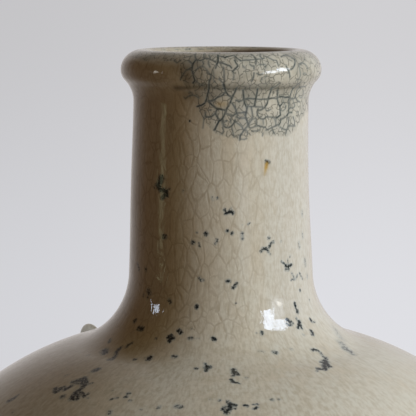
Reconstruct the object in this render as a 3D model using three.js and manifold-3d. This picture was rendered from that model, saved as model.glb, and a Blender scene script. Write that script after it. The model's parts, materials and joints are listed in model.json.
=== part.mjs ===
// A hand-thrown stoneware bottle vase: a globular body on a turned foot ring, a slender neck that grows
// out of the shoulder through a soft fillet, a rolled rim and one small cord lug on the shoulder's back.
//
// The potter throws the vessel in sections and lutes them together with slip: every section ends in a flat
// ring, with a tongue under the upper section and a groove in the lower one.
//
// Units are millimetres, +Z is up, -Y is the front. The origin is on the axis, in the foot's resting plane.

import * as THREE from 'three';
import { mergeVertices } from 'three/addons/utils/BufferGeometryUtils.js';
import Module from 'manifold-3d';

// Foot ring
const FOOT_DIAMETER = 94;
const FOOT_HEIGHT = 9;
const FOOT_WIDTH = 9;
const FOOT_TAPER = 1.5;
const FOOT_CHAMFER = 1.2;

// Body
const BELLY_DIAMETER = 186.6;
const BELLY_HEIGHT = 100;
const BODY_WALL = 6;
const FLOOR_THICKNESS = 8;
const SHOULDER_RADIUS = 75.7;
const NECK_FILLET = 20.1;

// Neck
const NECK_TOP_DIAMETER = 45.4;
const NECK_BASE_DIAMETER = 48.2;
const NECK_LENGTH = 49;
const NECK_WALL = 5.2;
const NECK_FLARE_POWER = 1.6;

// Rolled rim
const ROLL_OVERHANG = 3.3;
const ROLL_UPPER_HEIGHT = 5.2;
const ROLL_LOWER_HEIGHT = 3.6;
const LIP_REACH = 3;
const LIP_DROP = 3;

// Luted joints between the sections
const TONGUE_WIDTH = 2;
const TONGUE_HEIGHT = 1.6;
const SLIP_GAP = 0.3;

// Cord lug: a rolled coil bent to an arch that runs down the slope of the shoulder
const LUG_COIL = 3.4;
const LUG_SPAN = 9.5;
const LUG_RISE = 5.8;
const LUG_ROOT = 3;
const LUG_AZIMUTH = THREE.MathUtils.degToRad( 128 );
const LUG_POLAR = THREE.MathUtils.degToRad( 34.2 );

// Facets
const TURN_SEGMENTS = 48;
const BODY_STEPS = 7;
const FILLET_STEPS = 5;
const NECK_STEPS = 4;
const ROLL_STEPS = 4;
const LUG_STEPS = 16;
const LUG_SIDES = 10;
const MERGE_DISTANCE = 1e-4;

// Radii and heights that follow from the sizes above
const footRadius = FOOT_DIAMETER / 2;
const bellyRadius = BELLY_DIAMETER / 2;
const neckTopRadius = NECK_TOP_DIAMETER / 2;
const neckBaseRadius = NECK_BASE_DIAMETER / 2;
const boreRadius = neckTopRadius - NECK_WALL;

const undersideZ = FOOT_HEIGHT + SLIP_GAP;
const floorZ = undersideZ + FLOOR_THICKNESS;
const shoulderZ = BELLY_HEIGHT + SLIP_GAP;

// The lower wall is one arc, upright at the belly, that lands on the outer edge of the foot ring.
const lowerReach = bellyRadius - footRadius;
const lowerDrop = BELLY_HEIGHT - undersideZ;
const lowerRadius = ( lowerReach ** 2 + lowerDrop ** 2 ) / ( 2 * lowerReach );
const lowerCentre = new THREE.Vector2( bellyRadius - lowerRadius, BELLY_HEIGHT );

// The shoulder is an arc that is upright at the belly. The fillet touches it from outside, and touches the
// neck at the lean that the neck's flare ends with.
const neckLean = Math.atan2( NECK_FLARE_POWER * ( neckBaseRadius - neckTopRadius ), NECK_LENGTH );
const shoulderCentre = new THREE.Vector2( bellyRadius - SHOULDER_RADIUS, shoulderZ );
const filletR = neckBaseRadius + NECK_FILLET * Math.cos( neckLean );
const filletOffset = filletR - shoulderCentre.x;
const filletRise = Math.sqrt( ( SHOULDER_RADIUS + NECK_FILLET ) ** 2 - filletOffset ** 2 );
const filletCentre = new THREE.Vector2( filletR, shoulderZ + filletRise );
const shoulderTopAngle = Math.atan2( filletRise, filletOffset );

const collarZ = filletCentre.y - NECK_FILLET * Math.sin( neckLean );
const neckZ = collarZ + SLIP_GAP;
const neckTopZ = neckZ + NECK_LENGTH;
const rimZ = neckTopZ + SLIP_GAP;

// Rings where two sections meet
const footJoint = { inner: footRadius - FOOT_WIDTH, outer: footRadius };
const bellyJoint = { inner: bellyRadius - BODY_WALL, outer: bellyRadius };
const collarJoint = { inner: neckBaseRadius - NECK_WALL, outer: neckBaseRadius };
const rimJoint = { inner: boreRadius, outer: neckTopRadius };

const wasm = await Module();
wasm.setup();

function point( r, z ) {

	return new THREE.Vector2( r, z );

}

// Points along an ellipse in the profile plane, both ends included.
function arc( centre, reach, height, from, to, steps ) {

	const points = [];

	for ( let i = 0; i <= steps; i ++ ) {

		const angle = THREE.MathUtils.lerp( from, to, i / steps );
		points.push( point( centre.x + reach * Math.cos( angle ), centre.y + height * Math.sin( angle ) ) );

	}

	return points;

}

// Underside of an upper section, from its inner to its outer edge, with the tongue.
function tongueFace( joint, z ) {

	const middle = ( joint.inner + joint.outer ) / 2;
	const near = middle - TONGUE_WIDTH / 2;
	const far = middle + TONGUE_WIDTH / 2;
	const tip = z - TONGUE_HEIGHT;

	return [
		point( joint.inner, z ), point( near, z ), point( near, tip ),
		point( far, tip ), point( far, z ), point( joint.outer, z ),
	];

}

// Top of a lower section, from its outer to its inner edge, with the groove for the tongue above.
function grooveFace( joint, z ) {

	const middle = ( joint.inner + joint.outer ) / 2;
	const near = middle - TONGUE_WIDTH / 2 - SLIP_GAP;
	const far = middle + TONGUE_WIDTH / 2 + SLIP_GAP;
	const bed = z - TONGUE_HEIGHT;

	return [
		point( joint.outer, z ), point( far, z ), point( far, bed ),
		point( near, bed ), point( near, z ), point( joint.inner, z ),
	];

}

// Turns a profile, given counter-clockwise in radius and height, about the Z axis.
function turned( profile ) {

	return new THREE.LatheGeometry( profile, TURN_SEGMENTS ).rotateX( Math.PI / 2 );

}

function closed( profile ) {

	return [ ...profile, profile[ 0 ].clone() ];

}

function footRing() {

	const restRadius = footRadius - FOOT_TAPER;
	const innerRadius = footJoint.inner;

	return turned( closed( [
		point( innerRadius, 0 ),
		point( restRadius - FOOT_CHAMFER, 0 ),
		point( restRadius, FOOT_CHAMFER ),
		...grooveFace( footJoint, FOOT_HEIGHT ),
	] ) );

}

function lowerBody() {

	const landing = Math.atan2( undersideZ - lowerCentre.y, footRadius - lowerCentre.x );
	const innerRadius = lowerRadius - BODY_WALL;
	const floorAngle = Math.asin( ( floorZ - lowerCentre.y ) / innerRadius );
	const outer = arc( lowerCentre, lowerRadius, lowerRadius, landing, 0, BODY_STEPS );
	const inner = arc( lowerCentre, innerRadius, innerRadius, 0, floorAngle, BODY_STEPS );

	return turned( [
		point( 0, undersideZ ),
		...tongueFace( footJoint, undersideZ ),
		...outer.slice( 1, - 1 ),
		...grooveFace( bellyJoint, BELLY_HEIGHT ),
		...inner.slice( 1 ),
		point( 0, floorZ ),
	] );

}

// Outer line of the shoulder from the belly up to the collar, moved outwards by a distance.
function shoulderOutline( outwards ) {

	const dome = SHOULDER_RADIUS + outwards;
	const fillet = NECK_FILLET - outwards;
	const filletStart = shoulderTopAngle - Math.PI;
	const filletEnd = neckLean - Math.PI;

	return [
		...arc( shoulderCentre, dome, dome, 0, shoulderTopAngle, BODY_STEPS ),
		...arc( filletCentre, fillet, fillet, filletStart, filletEnd, FILLET_STEPS ).slice( 1 ),
	];

}

function shoulder() {

	const dome = SHOULDER_RADIUS - BODY_WALL;
	const domeLine = arc( shoulderCentre, dome, dome, shoulderTopAngle, 0, BODY_STEPS );
	const filletStart = neckLean - Math.PI;
	const filletEnd = shoulderTopAngle - Math.PI;
	const filletLine = [];

	// The wall thickens from the neck to the dome along the fillet.
	for ( let i = 1; i < FILLET_STEPS; i ++ ) {

		const share = i / FILLET_STEPS;
		const angle = THREE.MathUtils.lerp( filletStart, filletEnd, share );
		const radius = NECK_FILLET + THREE.MathUtils.lerp( NECK_WALL, BODY_WALL, share );
		filletLine.push( point(
			filletCentre.x + radius * Math.cos( angle ),
			filletCentre.y + radius * Math.sin( angle ),
		) );

	}

	return turned( closed( [
		...tongueFace( bellyJoint, shoulderZ ),
		...shoulderOutline( 0 ).slice( 1, - 1 ),
		...grooveFace( collarJoint, collarZ ),
		...filletLine,
		...domeLine.slice( 0, - 1 ),
	] ) );

}

function neckRadius( share ) {

	return neckTopRadius + ( neckBaseRadius - neckTopRadius ) * share ** NECK_FLARE_POWER;

}

function neck() {

	const outer = [];

	for ( let i = 1; i < NECK_STEPS; i ++ ) {

		const share = 1 - i / NECK_STEPS;
		outer.push( point( neckRadius( share ), neckTopZ - share * NECK_LENGTH ) );

	}

	const inner = outer.map( ( p ) => point( p.x - NECK_WALL, p.y ) ).reverse();

	return turned( closed( [
		...tongueFace( collarJoint, neckZ ),
		...outer,
		...grooveFace( rimJoint, neckTopZ ),
		...inner,
	] ) );

}

function rim() {

	const widestZ = rimZ + ROLL_LOWER_HEIGHT;
	const crestZ = widestZ + ROLL_UPPER_HEIGHT;
	const crestRadius = boreRadius + LIP_REACH;
	const upperReach = neckTopRadius + ROLL_OVERHANG - crestRadius;
	const quarter = Math.PI / 2;
	const underCentre = point( neckTopRadius, widestZ );
	const overCentre = point( crestRadius, widestZ );
	const lipCentre = point( crestRadius, crestZ - LIP_DROP );
	const under = arc( underCentre, ROLL_OVERHANG, ROLL_LOWER_HEIGHT, - quarter, 0, ROLL_STEPS );
	const over = arc( overCentre, upperReach, ROLL_UPPER_HEIGHT, 0, quarter, ROLL_STEPS );
	const lip = arc( lipCentre, LIP_REACH, LIP_DROP, quarter, Math.PI, ROLL_STEPS );

	return turned( closed( [
		...tongueFace( rimJoint, rimZ ),
		...under.slice( 1 ),
		...over.slice( 1 ),
		...lip.slice( 1 ),
	] ) );

}

function toSolid( geometry ) {

	geometry.deleteAttribute( 'normal' );
	geometry.deleteAttribute( 'uv' );
	const merged = mergeVertices( geometry, MERGE_DISTANCE );

	return new wasm.Manifold( new wasm.Mesh( {
		numProp: 3,
		vertProperties: new Float32Array( merged.attributes.position.array ),
		triVerts: new Uint32Array( merged.index.array ),
	} ) );

}

function toGeometry( solid ) {

	const mesh = solid.getMesh();
	const geometry = new THREE.BufferGeometry();
	geometry.setAttribute( 'position', new THREE.BufferAttribute( mesh.vertProperties, 3 ) );
	geometry.setIndex( new THREE.BufferAttribute( mesh.triVerts, 1 ) );

	return geometry;

}

// The arch is swept in a frame with X down the slope and Z off the surface, set on the shoulder, and its two
// roots are cut to the shoulder's outline with the slip gap.
function shoulderLug() {

	const coilRadius = LUG_COIL / 2;
	const archReach = LUG_SPAN / 2 - coilRadius;
	const archHeight = LUG_RISE - coilRadius;
	const line = [ new THREE.Vector3( - archReach, 0, - LUG_ROOT ) ];

	for ( let i = 0; i <= LUG_STEPS; i ++ ) {

		const angle = Math.PI * ( 1 - i / LUG_STEPS );
		line.push( new THREE.Vector3( archReach * Math.cos( angle ), 0, archHeight * Math.sin( angle ) ) );

	}

	line.push( new THREE.Vector3( archReach, 0, - LUG_ROOT ) );

	const section = new THREE.Shape();
	section.absarc( 0, 0, coilRadius, 0, 2 * Math.PI );

	const coil = new THREE.ExtrudeGeometry( section, {
		extrudePath: new THREE.CatmullRomCurve3( line ),
		steps: LUG_STEPS,
		curveSegments: LUG_SIDES / 2,
		bevelEnabled: false,
	} );

	const seatRadius = shoulderCentre.x + SHOULDER_RADIUS * Math.sin( LUG_POLAR );
	const seatZ = shoulderCentre.y + SHOULDER_RADIUS * Math.cos( LUG_POLAR );
	coil.rotateY( LUG_POLAR );
	coil.translate( seatRadius, 0, seatZ );
	coil.rotateZ( LUG_AZIMUTH );

	const outline = shoulderOutline( SLIP_GAP );
	const core = turned( [ point( 0, shoulderZ ), ...outline, point( 0, outline.at( - 1 ).y ) ] );

	return toGeometry( toSolid( coil ).subtract( toSolid( core ) ) );

}

function finish( color, roughness ) {

	return new THREE.MeshStandardMaterial( { color, roughness, metalness: 0 } );

}

const GLAZE = 0xcbc3b2;
const GLAZE_ROUGHNESS = 0.12;
const BARE_CLAY = 0x4b443d;
const BARE_CLAY_ROUGHNESS = 0.85;
const SMOKED_GLAZE = 0x8f8b84;

const bottle = new THREE.Group();

function add( name, geometry, material ) {

	const mesh = new THREE.Mesh( geometry, material );
	mesh.name = name;
	bottle.add( mesh );

}

add( 'foot_ring', footRing(), finish( BARE_CLAY, BARE_CLAY_ROUGHNESS ) );
add( 'lower_body', lowerBody(), finish( GLAZE, GLAZE_ROUGHNESS ) );
add( 'shoulder', shoulder(), finish( GLAZE, GLAZE_ROUGHNESS ) );
add( 'neck', neck(), finish( GLAZE, GLAZE_ROUGHNESS ) );
add( 'rim', rim(), finish( GLAZE, GLAZE_ROUGHNESS ) );
add( 'shoulder_lug', shoulderLug(), finish( SMOKED_GLAZE, GLAZE_ROUGHNESS ) );

export default bottle;
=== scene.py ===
"""A hand-thrown bottle vase in a crackle glaze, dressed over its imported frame.

The potter's sections are turned one by one: foot ring, lower body, shoulder, neck and rolled rim, with a
small cord lug bent from a coil of clay. They meet edge to edge under one crazed glaze that smoke has marked.
Sizes are metres, +Z is up, -Y is the front.
"""

import json
import math
import random
from collections import namedtuple
from types import SimpleNamespace

import bpy
import numpy as np
from mathutils import Euler, Matrix, Quaternion, Vector
from mathutils.kdtree import KDTree

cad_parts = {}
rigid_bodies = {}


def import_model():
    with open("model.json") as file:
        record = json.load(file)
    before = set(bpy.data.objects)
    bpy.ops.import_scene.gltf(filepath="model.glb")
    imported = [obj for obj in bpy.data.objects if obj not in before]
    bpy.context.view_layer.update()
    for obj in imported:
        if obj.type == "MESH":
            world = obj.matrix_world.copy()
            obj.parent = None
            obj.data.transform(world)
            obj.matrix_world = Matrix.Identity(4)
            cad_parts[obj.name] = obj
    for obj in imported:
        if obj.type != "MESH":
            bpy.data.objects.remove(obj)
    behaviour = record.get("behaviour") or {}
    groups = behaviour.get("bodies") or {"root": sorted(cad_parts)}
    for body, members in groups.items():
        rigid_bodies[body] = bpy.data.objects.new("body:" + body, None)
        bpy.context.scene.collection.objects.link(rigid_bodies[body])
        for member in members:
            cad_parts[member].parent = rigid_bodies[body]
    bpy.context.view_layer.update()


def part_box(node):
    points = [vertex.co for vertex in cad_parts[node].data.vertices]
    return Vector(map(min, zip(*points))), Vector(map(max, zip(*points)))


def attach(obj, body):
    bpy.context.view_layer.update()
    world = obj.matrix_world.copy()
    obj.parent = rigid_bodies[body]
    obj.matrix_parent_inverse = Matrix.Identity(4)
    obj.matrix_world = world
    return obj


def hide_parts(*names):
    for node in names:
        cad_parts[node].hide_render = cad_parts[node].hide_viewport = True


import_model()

bl_info = {
    "name": "Crackle-glazed bottle vase",
    "version": (1, 0, 0),
    "blender": (4, 5, 0),
    "location": "View3D > Sidebar > Bottle",
    "description": "Turns a bottle vase in its luted sections, glazes it and sets it on a pale stage",
    "category": "Add Mesh",
}

MM = 0.001

# Heights and widths that the frame already holds
FOOT_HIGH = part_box("foot_ring")[1]
BODY_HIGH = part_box("lower_body")[1]
NECK_LOW, NECK_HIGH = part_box("neck")
RIM_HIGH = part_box("rim")[1]

# The photograph: its frame in pixels, and the camera that a fit of the outline gives
PHOTO_WIDTH = 416
FOCAL_PIXELS = 1927.0
CAMERA_DISTANCE = 0.5
CAMERA_OVER_CREST = 19.2 * MM
CAMERA_PITCH = math.radians(6.91)
CAMERA_YAW = math.radians(0.3865)
SENSOR = 36.0

# Fineness of the turned meshes: steps along a profile, steps round the axis, strips of the UV map
HAIR = 0.23 * MM
ROUNDING = 0.3 * MM
LIP_STEP = 0.4 * MM
FINE = 0.6 * MM
NECK_STEP = 0.75 * MM
BORE_STEP = 1.0 * MM
COARSE = 1.6 * MM
INNER = 3.0 * MM
EDGE_SUPPORT = 0.1 * MM
TURN_STEPS = {"foot_ring": 192, "lower_body": 288, "shoulder": 344, "neck": 576, "rim": 704}
BAKE_STRIPS = {"foot_ring": 1, "lower_body": 2, "shoulder": 2, "neck": 1, "rim": 1}
HIDDEN_ROOM = 0.3
BAKE_MARGIN = 0.004
LUG_SIDES = 32
LUG_STEPS = 24
MERGE = 1e-6
SMOOTH_ANGLE = math.radians(40)

# Forms of the curves: the neck's flare, the glaze in the crease, where it meets the roll, and rough lengths
FLARE_POWER = 1.6
FILLING_POWER = 2.2
ROLL_JOIN = -math.asin(0.59)
DOME_SPLIT = 0.42
SMOKED_FROM = 0.69
FOOT_SIDE = 8 * MM
THROAT = 25 * MM
BOW_REACH = 0.95
LUG_FLARE = ((1.0 * MM, 1.12), (1.0 * MM, 1.25))
QUARTER = math.pi / 2

# Which skin of the wall a profile point is on
OUTER, JOINT, INSIDE = 0, 1, 2
Spot = namedtuple("Spot", "r z skin")


def length(label, about, default):
    """A length property in metres."""
    return bpy.props.FloatProperty(
        name=label, description=about, default=default, min=0.0, unit="LENGTH", precision=4
    )


def colour(label, about, default):
    """A colour property, linear red, green and blue."""
    return bpy.props.FloatVectorProperty(
        name=label, description=about, default=default, size=3, min=0.0, max=1.0, subtype="COLOR"
    )


def angle(label, about, default):
    """An angle property."""
    return bpy.props.FloatProperty(name=label, description=about, default=default, subtype="ANGLE")


class BottleSizes(bpy.types.PropertyGroup):
    """Sizes of the potter's sections"""

    foot_diameter: length("Foot diameter", "Outer width of the foot ring at its top", 2 * FOOT_HIGH.x)
    foot_height: length("Foot height", "Height of the foot ring", FOOT_HIGH.z)
    foot_width: length("Foot width", "Width of the foot ring's wall", 9 * MM)
    foot_taper: length("Foot taper", "How far the foot draws in towards the ground", 1.5 * MM)
    foot_round: length("Foot rounding", "Rounding of the foot's lower edges", 1.2 * MM)
    belly_diameter: length("Belly diameter", "Width of the body at its widest", 2 * BODY_HIGH.x)
    belly_height: length("Belly height", "Height of the widest ring", BODY_HIGH.z)
    body_wall: length("Body wall", "Thickness of the body's wall", 6 * MM)
    floor_thickness: length("Floor thickness", "Thickness of the floor", 8 * MM)
    shoulder_radius: length("Shoulder radius", "Radius of the shoulder's arc", 75.7 * MM)
    neck_fillet: length("Neck fillet", "Radius of the hollow between shoulder and neck", 20.1 * MM)
    neck_top_diameter: length("Neck top diameter", "Width of the neck under the roll", 45.4 * MM)
    neck_base_diameter: length("Neck base diameter", "Width of the neck at the collar", 48.2 * MM)
    neck_length: length("Neck length", "Length of the neck section", 49 * MM)
    neck_wall: length("Neck wall", "Thickness of the neck's wall", 5.2 * MM)
    neck_bow: length("Neck bow", "How far the thrown neck leans to the left halfway up", 0.3 * MM)
    roll_overhang: length("Roll overhang", "How far the roll stands out from the neck", 3.3 * MM)
    roll_upper: length("Roll upper height", "Height of the roll above its widest ring", 5.2 * MM)
    roll_lower: length("Roll lower height", "Height of the roll below its widest ring", 3.6 * MM)
    lip_reach: length("Lip reach", "Width of the lip's inner rounding", 3 * MM)
    lip_drop: length("Lip drop", "Height of the lip's inner rounding", 3 * MM)
    undercut_reach: length("Undercut reach", "How far glaze fills the crease under the roll", 1.37 * MM)
    undercut_drop: length("Undercut drop", "How far that filling runs down the neck", 4.7 * MM)
    tongue_width: length("Tongue width", "Width of the tongue in a luted joint", 2 * MM)
    tongue_height: length("Tongue height", "Height of the tongue in a luted joint", 1.6 * MM)
    slip_gap: length("Slip gap", "Layer of slip in a luted joint", 0.3 * MM)
    glaze_lip: length("Glaze lip", "Depth of the glaze that closes a joint at the skin", 0.5 * MM)
    lug_coil: length("Lug coil", "Thickness of the coil of the cord lug", 3.4 * MM)
    lug_span: length("Lug span", "Length of the lug over its two roots", 9.5 * MM)
    lug_rise: length("Lug rise", "How far the lug stands off the shoulder", 5.8 * MM)
    lug_root: length("Lug root", "How deep the lug's ends sink into the shoulder", 3 * MM)
    lug_azimuth: angle("Lug azimuth", "Place of the lug round the body, from +X", math.radians(128))
    lug_polar: angle("Lug polar angle", "Place of the lug down the shoulder's arc", math.radians(34.2))


class GlazeColours(bpy.types.PropertyGroup):
    """Colours of the glaze, its crackle and the bare clay"""

    glaze: colour("Glaze", "Main colour of the glaze", (0.606, 0.584, 0.505))
    glaze_warm: colour("Warm glaze", "Glaze where it is thin over the clay", (0.560, 0.502, 0.398))
    glaze_pit: colour("Pitted glaze", "Glaze in its fine pits and grain", (0.468, 0.425, 0.336))
    glaze_cool: colour("Cool glaze", "Glaze where it has pooled", (0.596, 0.584, 0.510))
    # Painted shade: the cool tint that darkens the lit right of the neck
    painted_shade_tint: colour("Dimmed glaze", "Tint over the glaze on the right of the neck", (0.885, 0.895, 0.940))
    craze: colour("Crazing", "Fine lines of the unsmoked crackle", (0.345, 0.296, 0.220))
    smoke_line: colour("Smoked line", "Lines of the smoked crackle", (0.024, 0.036, 0.038))
    smoke_cell: colour("Smoked cell", "Glaze between smoked lines", (0.340, 0.338, 0.296))
    smoke_stain: colour("Smoke stain", "Glaze that smoke has stained under the roll", (0.150, 0.145, 0.118))
    smoke_haze: colour("Smoke haze", "Soot that has spread beside a smoked line", (0.180, 0.208, 0.208))
    # Brown scorch that also paints the shade on the left of the roll and the neck top, where the light grazes
    scorch_shade: colour("Scorch", "Brown stain at the edge of the smoke", (0.190, 0.142, 0.085))
    carbon: colour("Carbon", "Blots of trapped carbon", (0.009, 0.015, 0.019))
    carbon_fringe: colour("Carbon fringe", "Haze round a blot", (0.220, 0.275, 0.300))
    rust: colour("Rust", "Iron run below a pit", (0.420, 0.270, 0.060))
    # Brown wash inside, dark enough that it also paints the shade inside the mouth
    inner: colour("Inside", "Thin brown wash inside the vessel", (0.120, 0.080, 0.052))
    clay: colour("Clay", "Bare smoked clay of the foot", (0.080, 0.064, 0.050))
    clay_pale: colour("Pale clay", "Rubbed clay on the foot's edges", (0.200, 0.165, 0.130))


def derive(sizes):
    """Radii, heights and arc centres that follow from the sizes."""
    d = SimpleNamespace()
    d.foot = sizes.foot_diameter / 2
    d.belly = sizes.belly_diameter / 2
    d.neck_top = sizes.neck_top_diameter / 2
    d.neck_base = sizes.neck_base_diameter / 2
    d.bore = d.neck_top - sizes.neck_wall
    d.underside_z = sizes.foot_height + sizes.slip_gap
    d.floor_z = d.underside_z + sizes.floor_thickness
    d.shoulder_z = sizes.belly_height + sizes.slip_gap

    reach = d.belly - d.foot
    drop = sizes.belly_height - d.underside_z
    d.lower_radius = (reach**2 + drop**2) / (2 * reach)
    d.lower_r = d.belly - d.lower_radius
    d.lower_z = sizes.belly_height

    d.lean = math.atan2(FLARE_POWER * (d.neck_base - d.neck_top), sizes.neck_length)
    d.shoulder_r = d.belly - sizes.shoulder_radius
    d.fillet_r = d.neck_base + sizes.neck_fillet * math.cos(d.lean)
    offset = d.fillet_r - d.shoulder_r
    rise = math.sqrt((sizes.shoulder_radius + sizes.neck_fillet) ** 2 - offset**2)
    d.fillet_z = d.shoulder_z + rise
    d.shoulder_top = math.atan2(rise, offset)

    d.collar_z = d.fillet_z - sizes.neck_fillet * math.sin(d.lean)
    d.neck_z = d.collar_z + sizes.slip_gap
    d.neck_top_z = d.neck_z + sizes.neck_length
    d.rim_z = d.neck_top_z + sizes.slip_gap
    d.widest_z = d.rim_z + sizes.roll_lower
    d.crest_z = d.widest_z + sizes.roll_upper
    d.crest_r = d.bore + sizes.lip_reach
    d.undercut_z = d.neck_top_z + sizes.slip_gap / 2
    return d


def shares(span, step):
    """Even shares from 0 to 1 at about one step apart, with a support point close to each end."""
    count = max(2, round(span / step))
    even = [i / count for i in range(count + 1)]
    near = min(EDGE_SUPPORT / span, 0.25 / count)
    return [0.0, near] + even[1:-1] + [1.0 - near, 1.0]


def arc(centre_r, centre_z, reach, height, start, end, step, skin):
    """Points along an ellipse's arc in the profile plane, both ends included."""
    span = abs(end - start) * max(reach, height)
    turns = [start + (end - start) * share for share in shares(span, step)]
    return [Spot(centre_r + reach * math.cos(t), centre_z + height * math.sin(t), skin) for t in turns]


def tongue_face(sizes, inner, outer, lip_outer, z):
    """Underside of an upper section, from its inner to its outer edge, with the tongue."""
    middle = (inner + outer) / 2
    near = middle - sizes.tongue_width / 2
    far = middle + sizes.tongue_width / 2
    tip = z - sizes.tongue_height
    seam = z - sizes.slip_gap / 2
    lip = sizes.glaze_lip
    path = [(inner, seam), (inner + lip, seam), (inner + lip, z), (near, z), (near, tip)]
    path += [(far, tip), (far, z), (lip_outer - lip, z), (lip_outer - lip, seam), (lip_outer, seam)]
    return [Spot(r, height, JOINT) for r, height in path]


def groove_face(sizes, inner, outer, lip_outer, z):
    """Top of a lower section, from its outer to its inner edge, with the groove for the tongue above."""
    middle = (inner + outer) / 2
    near = middle - sizes.tongue_width / 2 - sizes.slip_gap
    far = middle + sizes.tongue_width / 2 + sizes.slip_gap
    bed = z - sizes.tongue_height
    seam = z + sizes.slip_gap / 2
    lip = sizes.glaze_lip
    path = [(lip_outer, seam), (lip_outer - lip, seam), (lip_outer - lip, z), (far, z), (far, bed)]
    path += [(near, bed), (near, z), (inner + lip, z), (inner + lip, seam), (inner, seam)]
    return [Spot(r, height, JOINT) for r, height in path]


def joined(*runs):
    """One profile from runs that share their end points."""
    profile = list(runs[0])
    for run in runs[1:]:
        last = profile[-1]
        first = run[0]
        same = math.hypot(first.r - last.r, first.z - last.z) < 1e-7
        profile += run[1:] if same else run
    return profile


def closed(profile):
    """The profile with its first point again at its end."""
    return profile + [profile[0]._replace(skin=profile[-1].skin)]


def neck_radius(sizes, d, z):
    """Outer radius of the neck at a height, with the glaze that fills the crease under the roll."""
    share = (d.neck_top_z - z) / sizes.neck_length
    share = min(max(share, 0.0), 1.0)
    flare = d.neck_top + (d.neck_base - d.neck_top) * share**FLARE_POWER
    depth = (d.undercut_z - z) / sizes.undercut_drop
    filling = sizes.undercut_reach * max(0.0, 1.0 - depth) ** FILLING_POWER
    return flare + filling


def foot_profile(sizes):
    """Foot ring: rounded where it stands, groove on top."""
    d = derive(sizes)
    inner = d.foot - sizes.foot_width
    rest = d.foot - sizes.foot_taper
    curve = sizes.foot_round
    soft = curve / 2
    side = sizes.foot_height - curve
    heel = arc(inner + soft, soft, soft, soft, math.pi, 3 * QUARTER, ROUNDING, OUTER)
    toe = arc(rest - curve, curve, curve, curve, -QUARTER, 0.0, ROUNDING, OUTER)
    steps = shares(FOOT_SIDE, COARSE)
    wall = [Spot(rest + (d.foot - rest) * s, curve + side * s, OUTER) for s in steps]
    top = groove_face(sizes, inner, d.foot, d.foot, sizes.foot_height)
    return closed(joined(heel, toe, wall, top))


def lower_profile(sizes):
    """Lower body: from the middle of the underside round to the middle of the floor."""
    d = derive(sizes)
    seam_z = d.underside_z - sizes.slip_gap / 2
    landing = math.atan2(d.underside_z - d.lower_z, d.foot - d.lower_r)
    inner_radius = d.lower_radius - sizes.body_wall
    floor_angle = math.asin((d.floor_z - d.lower_z) / inner_radius)
    foot_inner = d.foot - sizes.foot_width
    under = [Spot(foot_inner * s, d.underside_z, JOINT) for s in (0.0, 0.2, 0.5, 0.8)]
    tongue = tongue_face(sizes, foot_inner, d.foot, d.foot, d.underside_z)
    wall = arc(d.lower_r, d.lower_z, d.lower_radius, d.lower_radius, landing, 0.0, COARSE, OUTER)
    rise = [Spot(d.belly, sizes.belly_height + sizes.slip_gap / 2, OUTER)]
    top = groove_face(sizes, d.belly - sizes.body_wall, d.belly, d.belly, sizes.belly_height)
    hollow = arc(d.lower_r, d.lower_z, inner_radius, inner_radius, 0.0, floor_angle, INNER, INSIDE)
    edge = hollow[-1].r
    floor = [Spot(edge * s, d.floor_z, INSIDE) for s in (0.9, 0.7, 0.5, 0.3, 0.15, 0.0)]
    start = [Spot(d.foot, seam_z, OUTER)]
    return joined(under, tongue, start, wall, rise, top, hollow, floor)


def shoulder_profile(sizes):
    """Shoulder: belly joint, dome, fillet, collar joint and back down the inside."""
    d = derive(sizes)
    dome = sizes.shoulder_radius
    split = d.shoulder_top * DOME_SPLIT
    turn_in = d.shoulder_top - math.pi
    turn_up = d.lean - math.pi
    belly_inner = d.belly - sizes.body_wall
    tongue = tongue_face(sizes, belly_inner, d.belly, d.belly, d.shoulder_z)
    low = arc(d.shoulder_r, d.shoulder_z, dome, dome, 0.0, split, COARSE, OUTER)
    high = arc(d.shoulder_r, d.shoulder_z, dome, dome, split, d.shoulder_top, FINE, OUTER)
    fillet = arc(d.fillet_r, d.fillet_z, sizes.neck_fillet, sizes.neck_fillet, turn_in, turn_up, FINE, OUTER)
    collar_inner = d.neck_base - sizes.neck_wall
    rise = [Spot(d.neck_base, d.collar_z + sizes.slip_gap / 2, OUTER)]
    top = groove_face(sizes, collar_inner, d.neck_base, d.neck_base, d.collar_z)
    throat = []
    for share in shares(THROAT, INNER)[1:-1]:
        way = turn_up + (turn_in - turn_up) * share
        radius = sizes.neck_fillet + sizes.neck_wall + (sizes.body_wall - sizes.neck_wall) * share
        r = d.fillet_r + radius * math.cos(way)
        z = d.fillet_z + radius * math.sin(way)
        throat.append(Spot(r, z, INSIDE))
    cup = dome - sizes.body_wall
    vault = arc(d.shoulder_r, d.shoulder_z, cup, cup, d.shoulder_top, 0.0, INNER, INSIDE)
    return closed(joined(tongue, low, high, fillet, rise, top, throat, vault))


def neck_profile(sizes):
    """Neck: collar joint, flared wall, rim joint and the bore."""
    d = derive(sizes)
    seam = d.neck_z - sizes.slip_gap / 2
    collar_inner = d.neck_base - sizes.neck_wall
    tongue = tongue_face(sizes, collar_inner, d.neck_base, d.neck_base, d.neck_z)
    span = d.undercut_z - seam
    smoked = span * SMOKED_FROM
    low = [seam + smoked * s for s in shares(smoked, NECK_STEP)]
    high = [seam + smoked + (span - smoked) * s for s in shares(span - smoked, HAIR)]
    wall = [Spot(neck_radius(sizes, d, z), z, OUTER) for z in low + high[1:]]
    top = groove_face(sizes, d.bore, d.neck_top, wall[-1].r, d.neck_top_z)
    bore = []
    for share in shares(sizes.neck_length, INNER):
        z = d.undercut_z - span * share
        flare = d.neck_top + (d.neck_base - d.neck_top) * share**FLARE_POWER
        bore.append(Spot(flare - sizes.neck_wall, z, INSIDE))
    return closed(joined(tongue, wall, top, bore))


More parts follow.
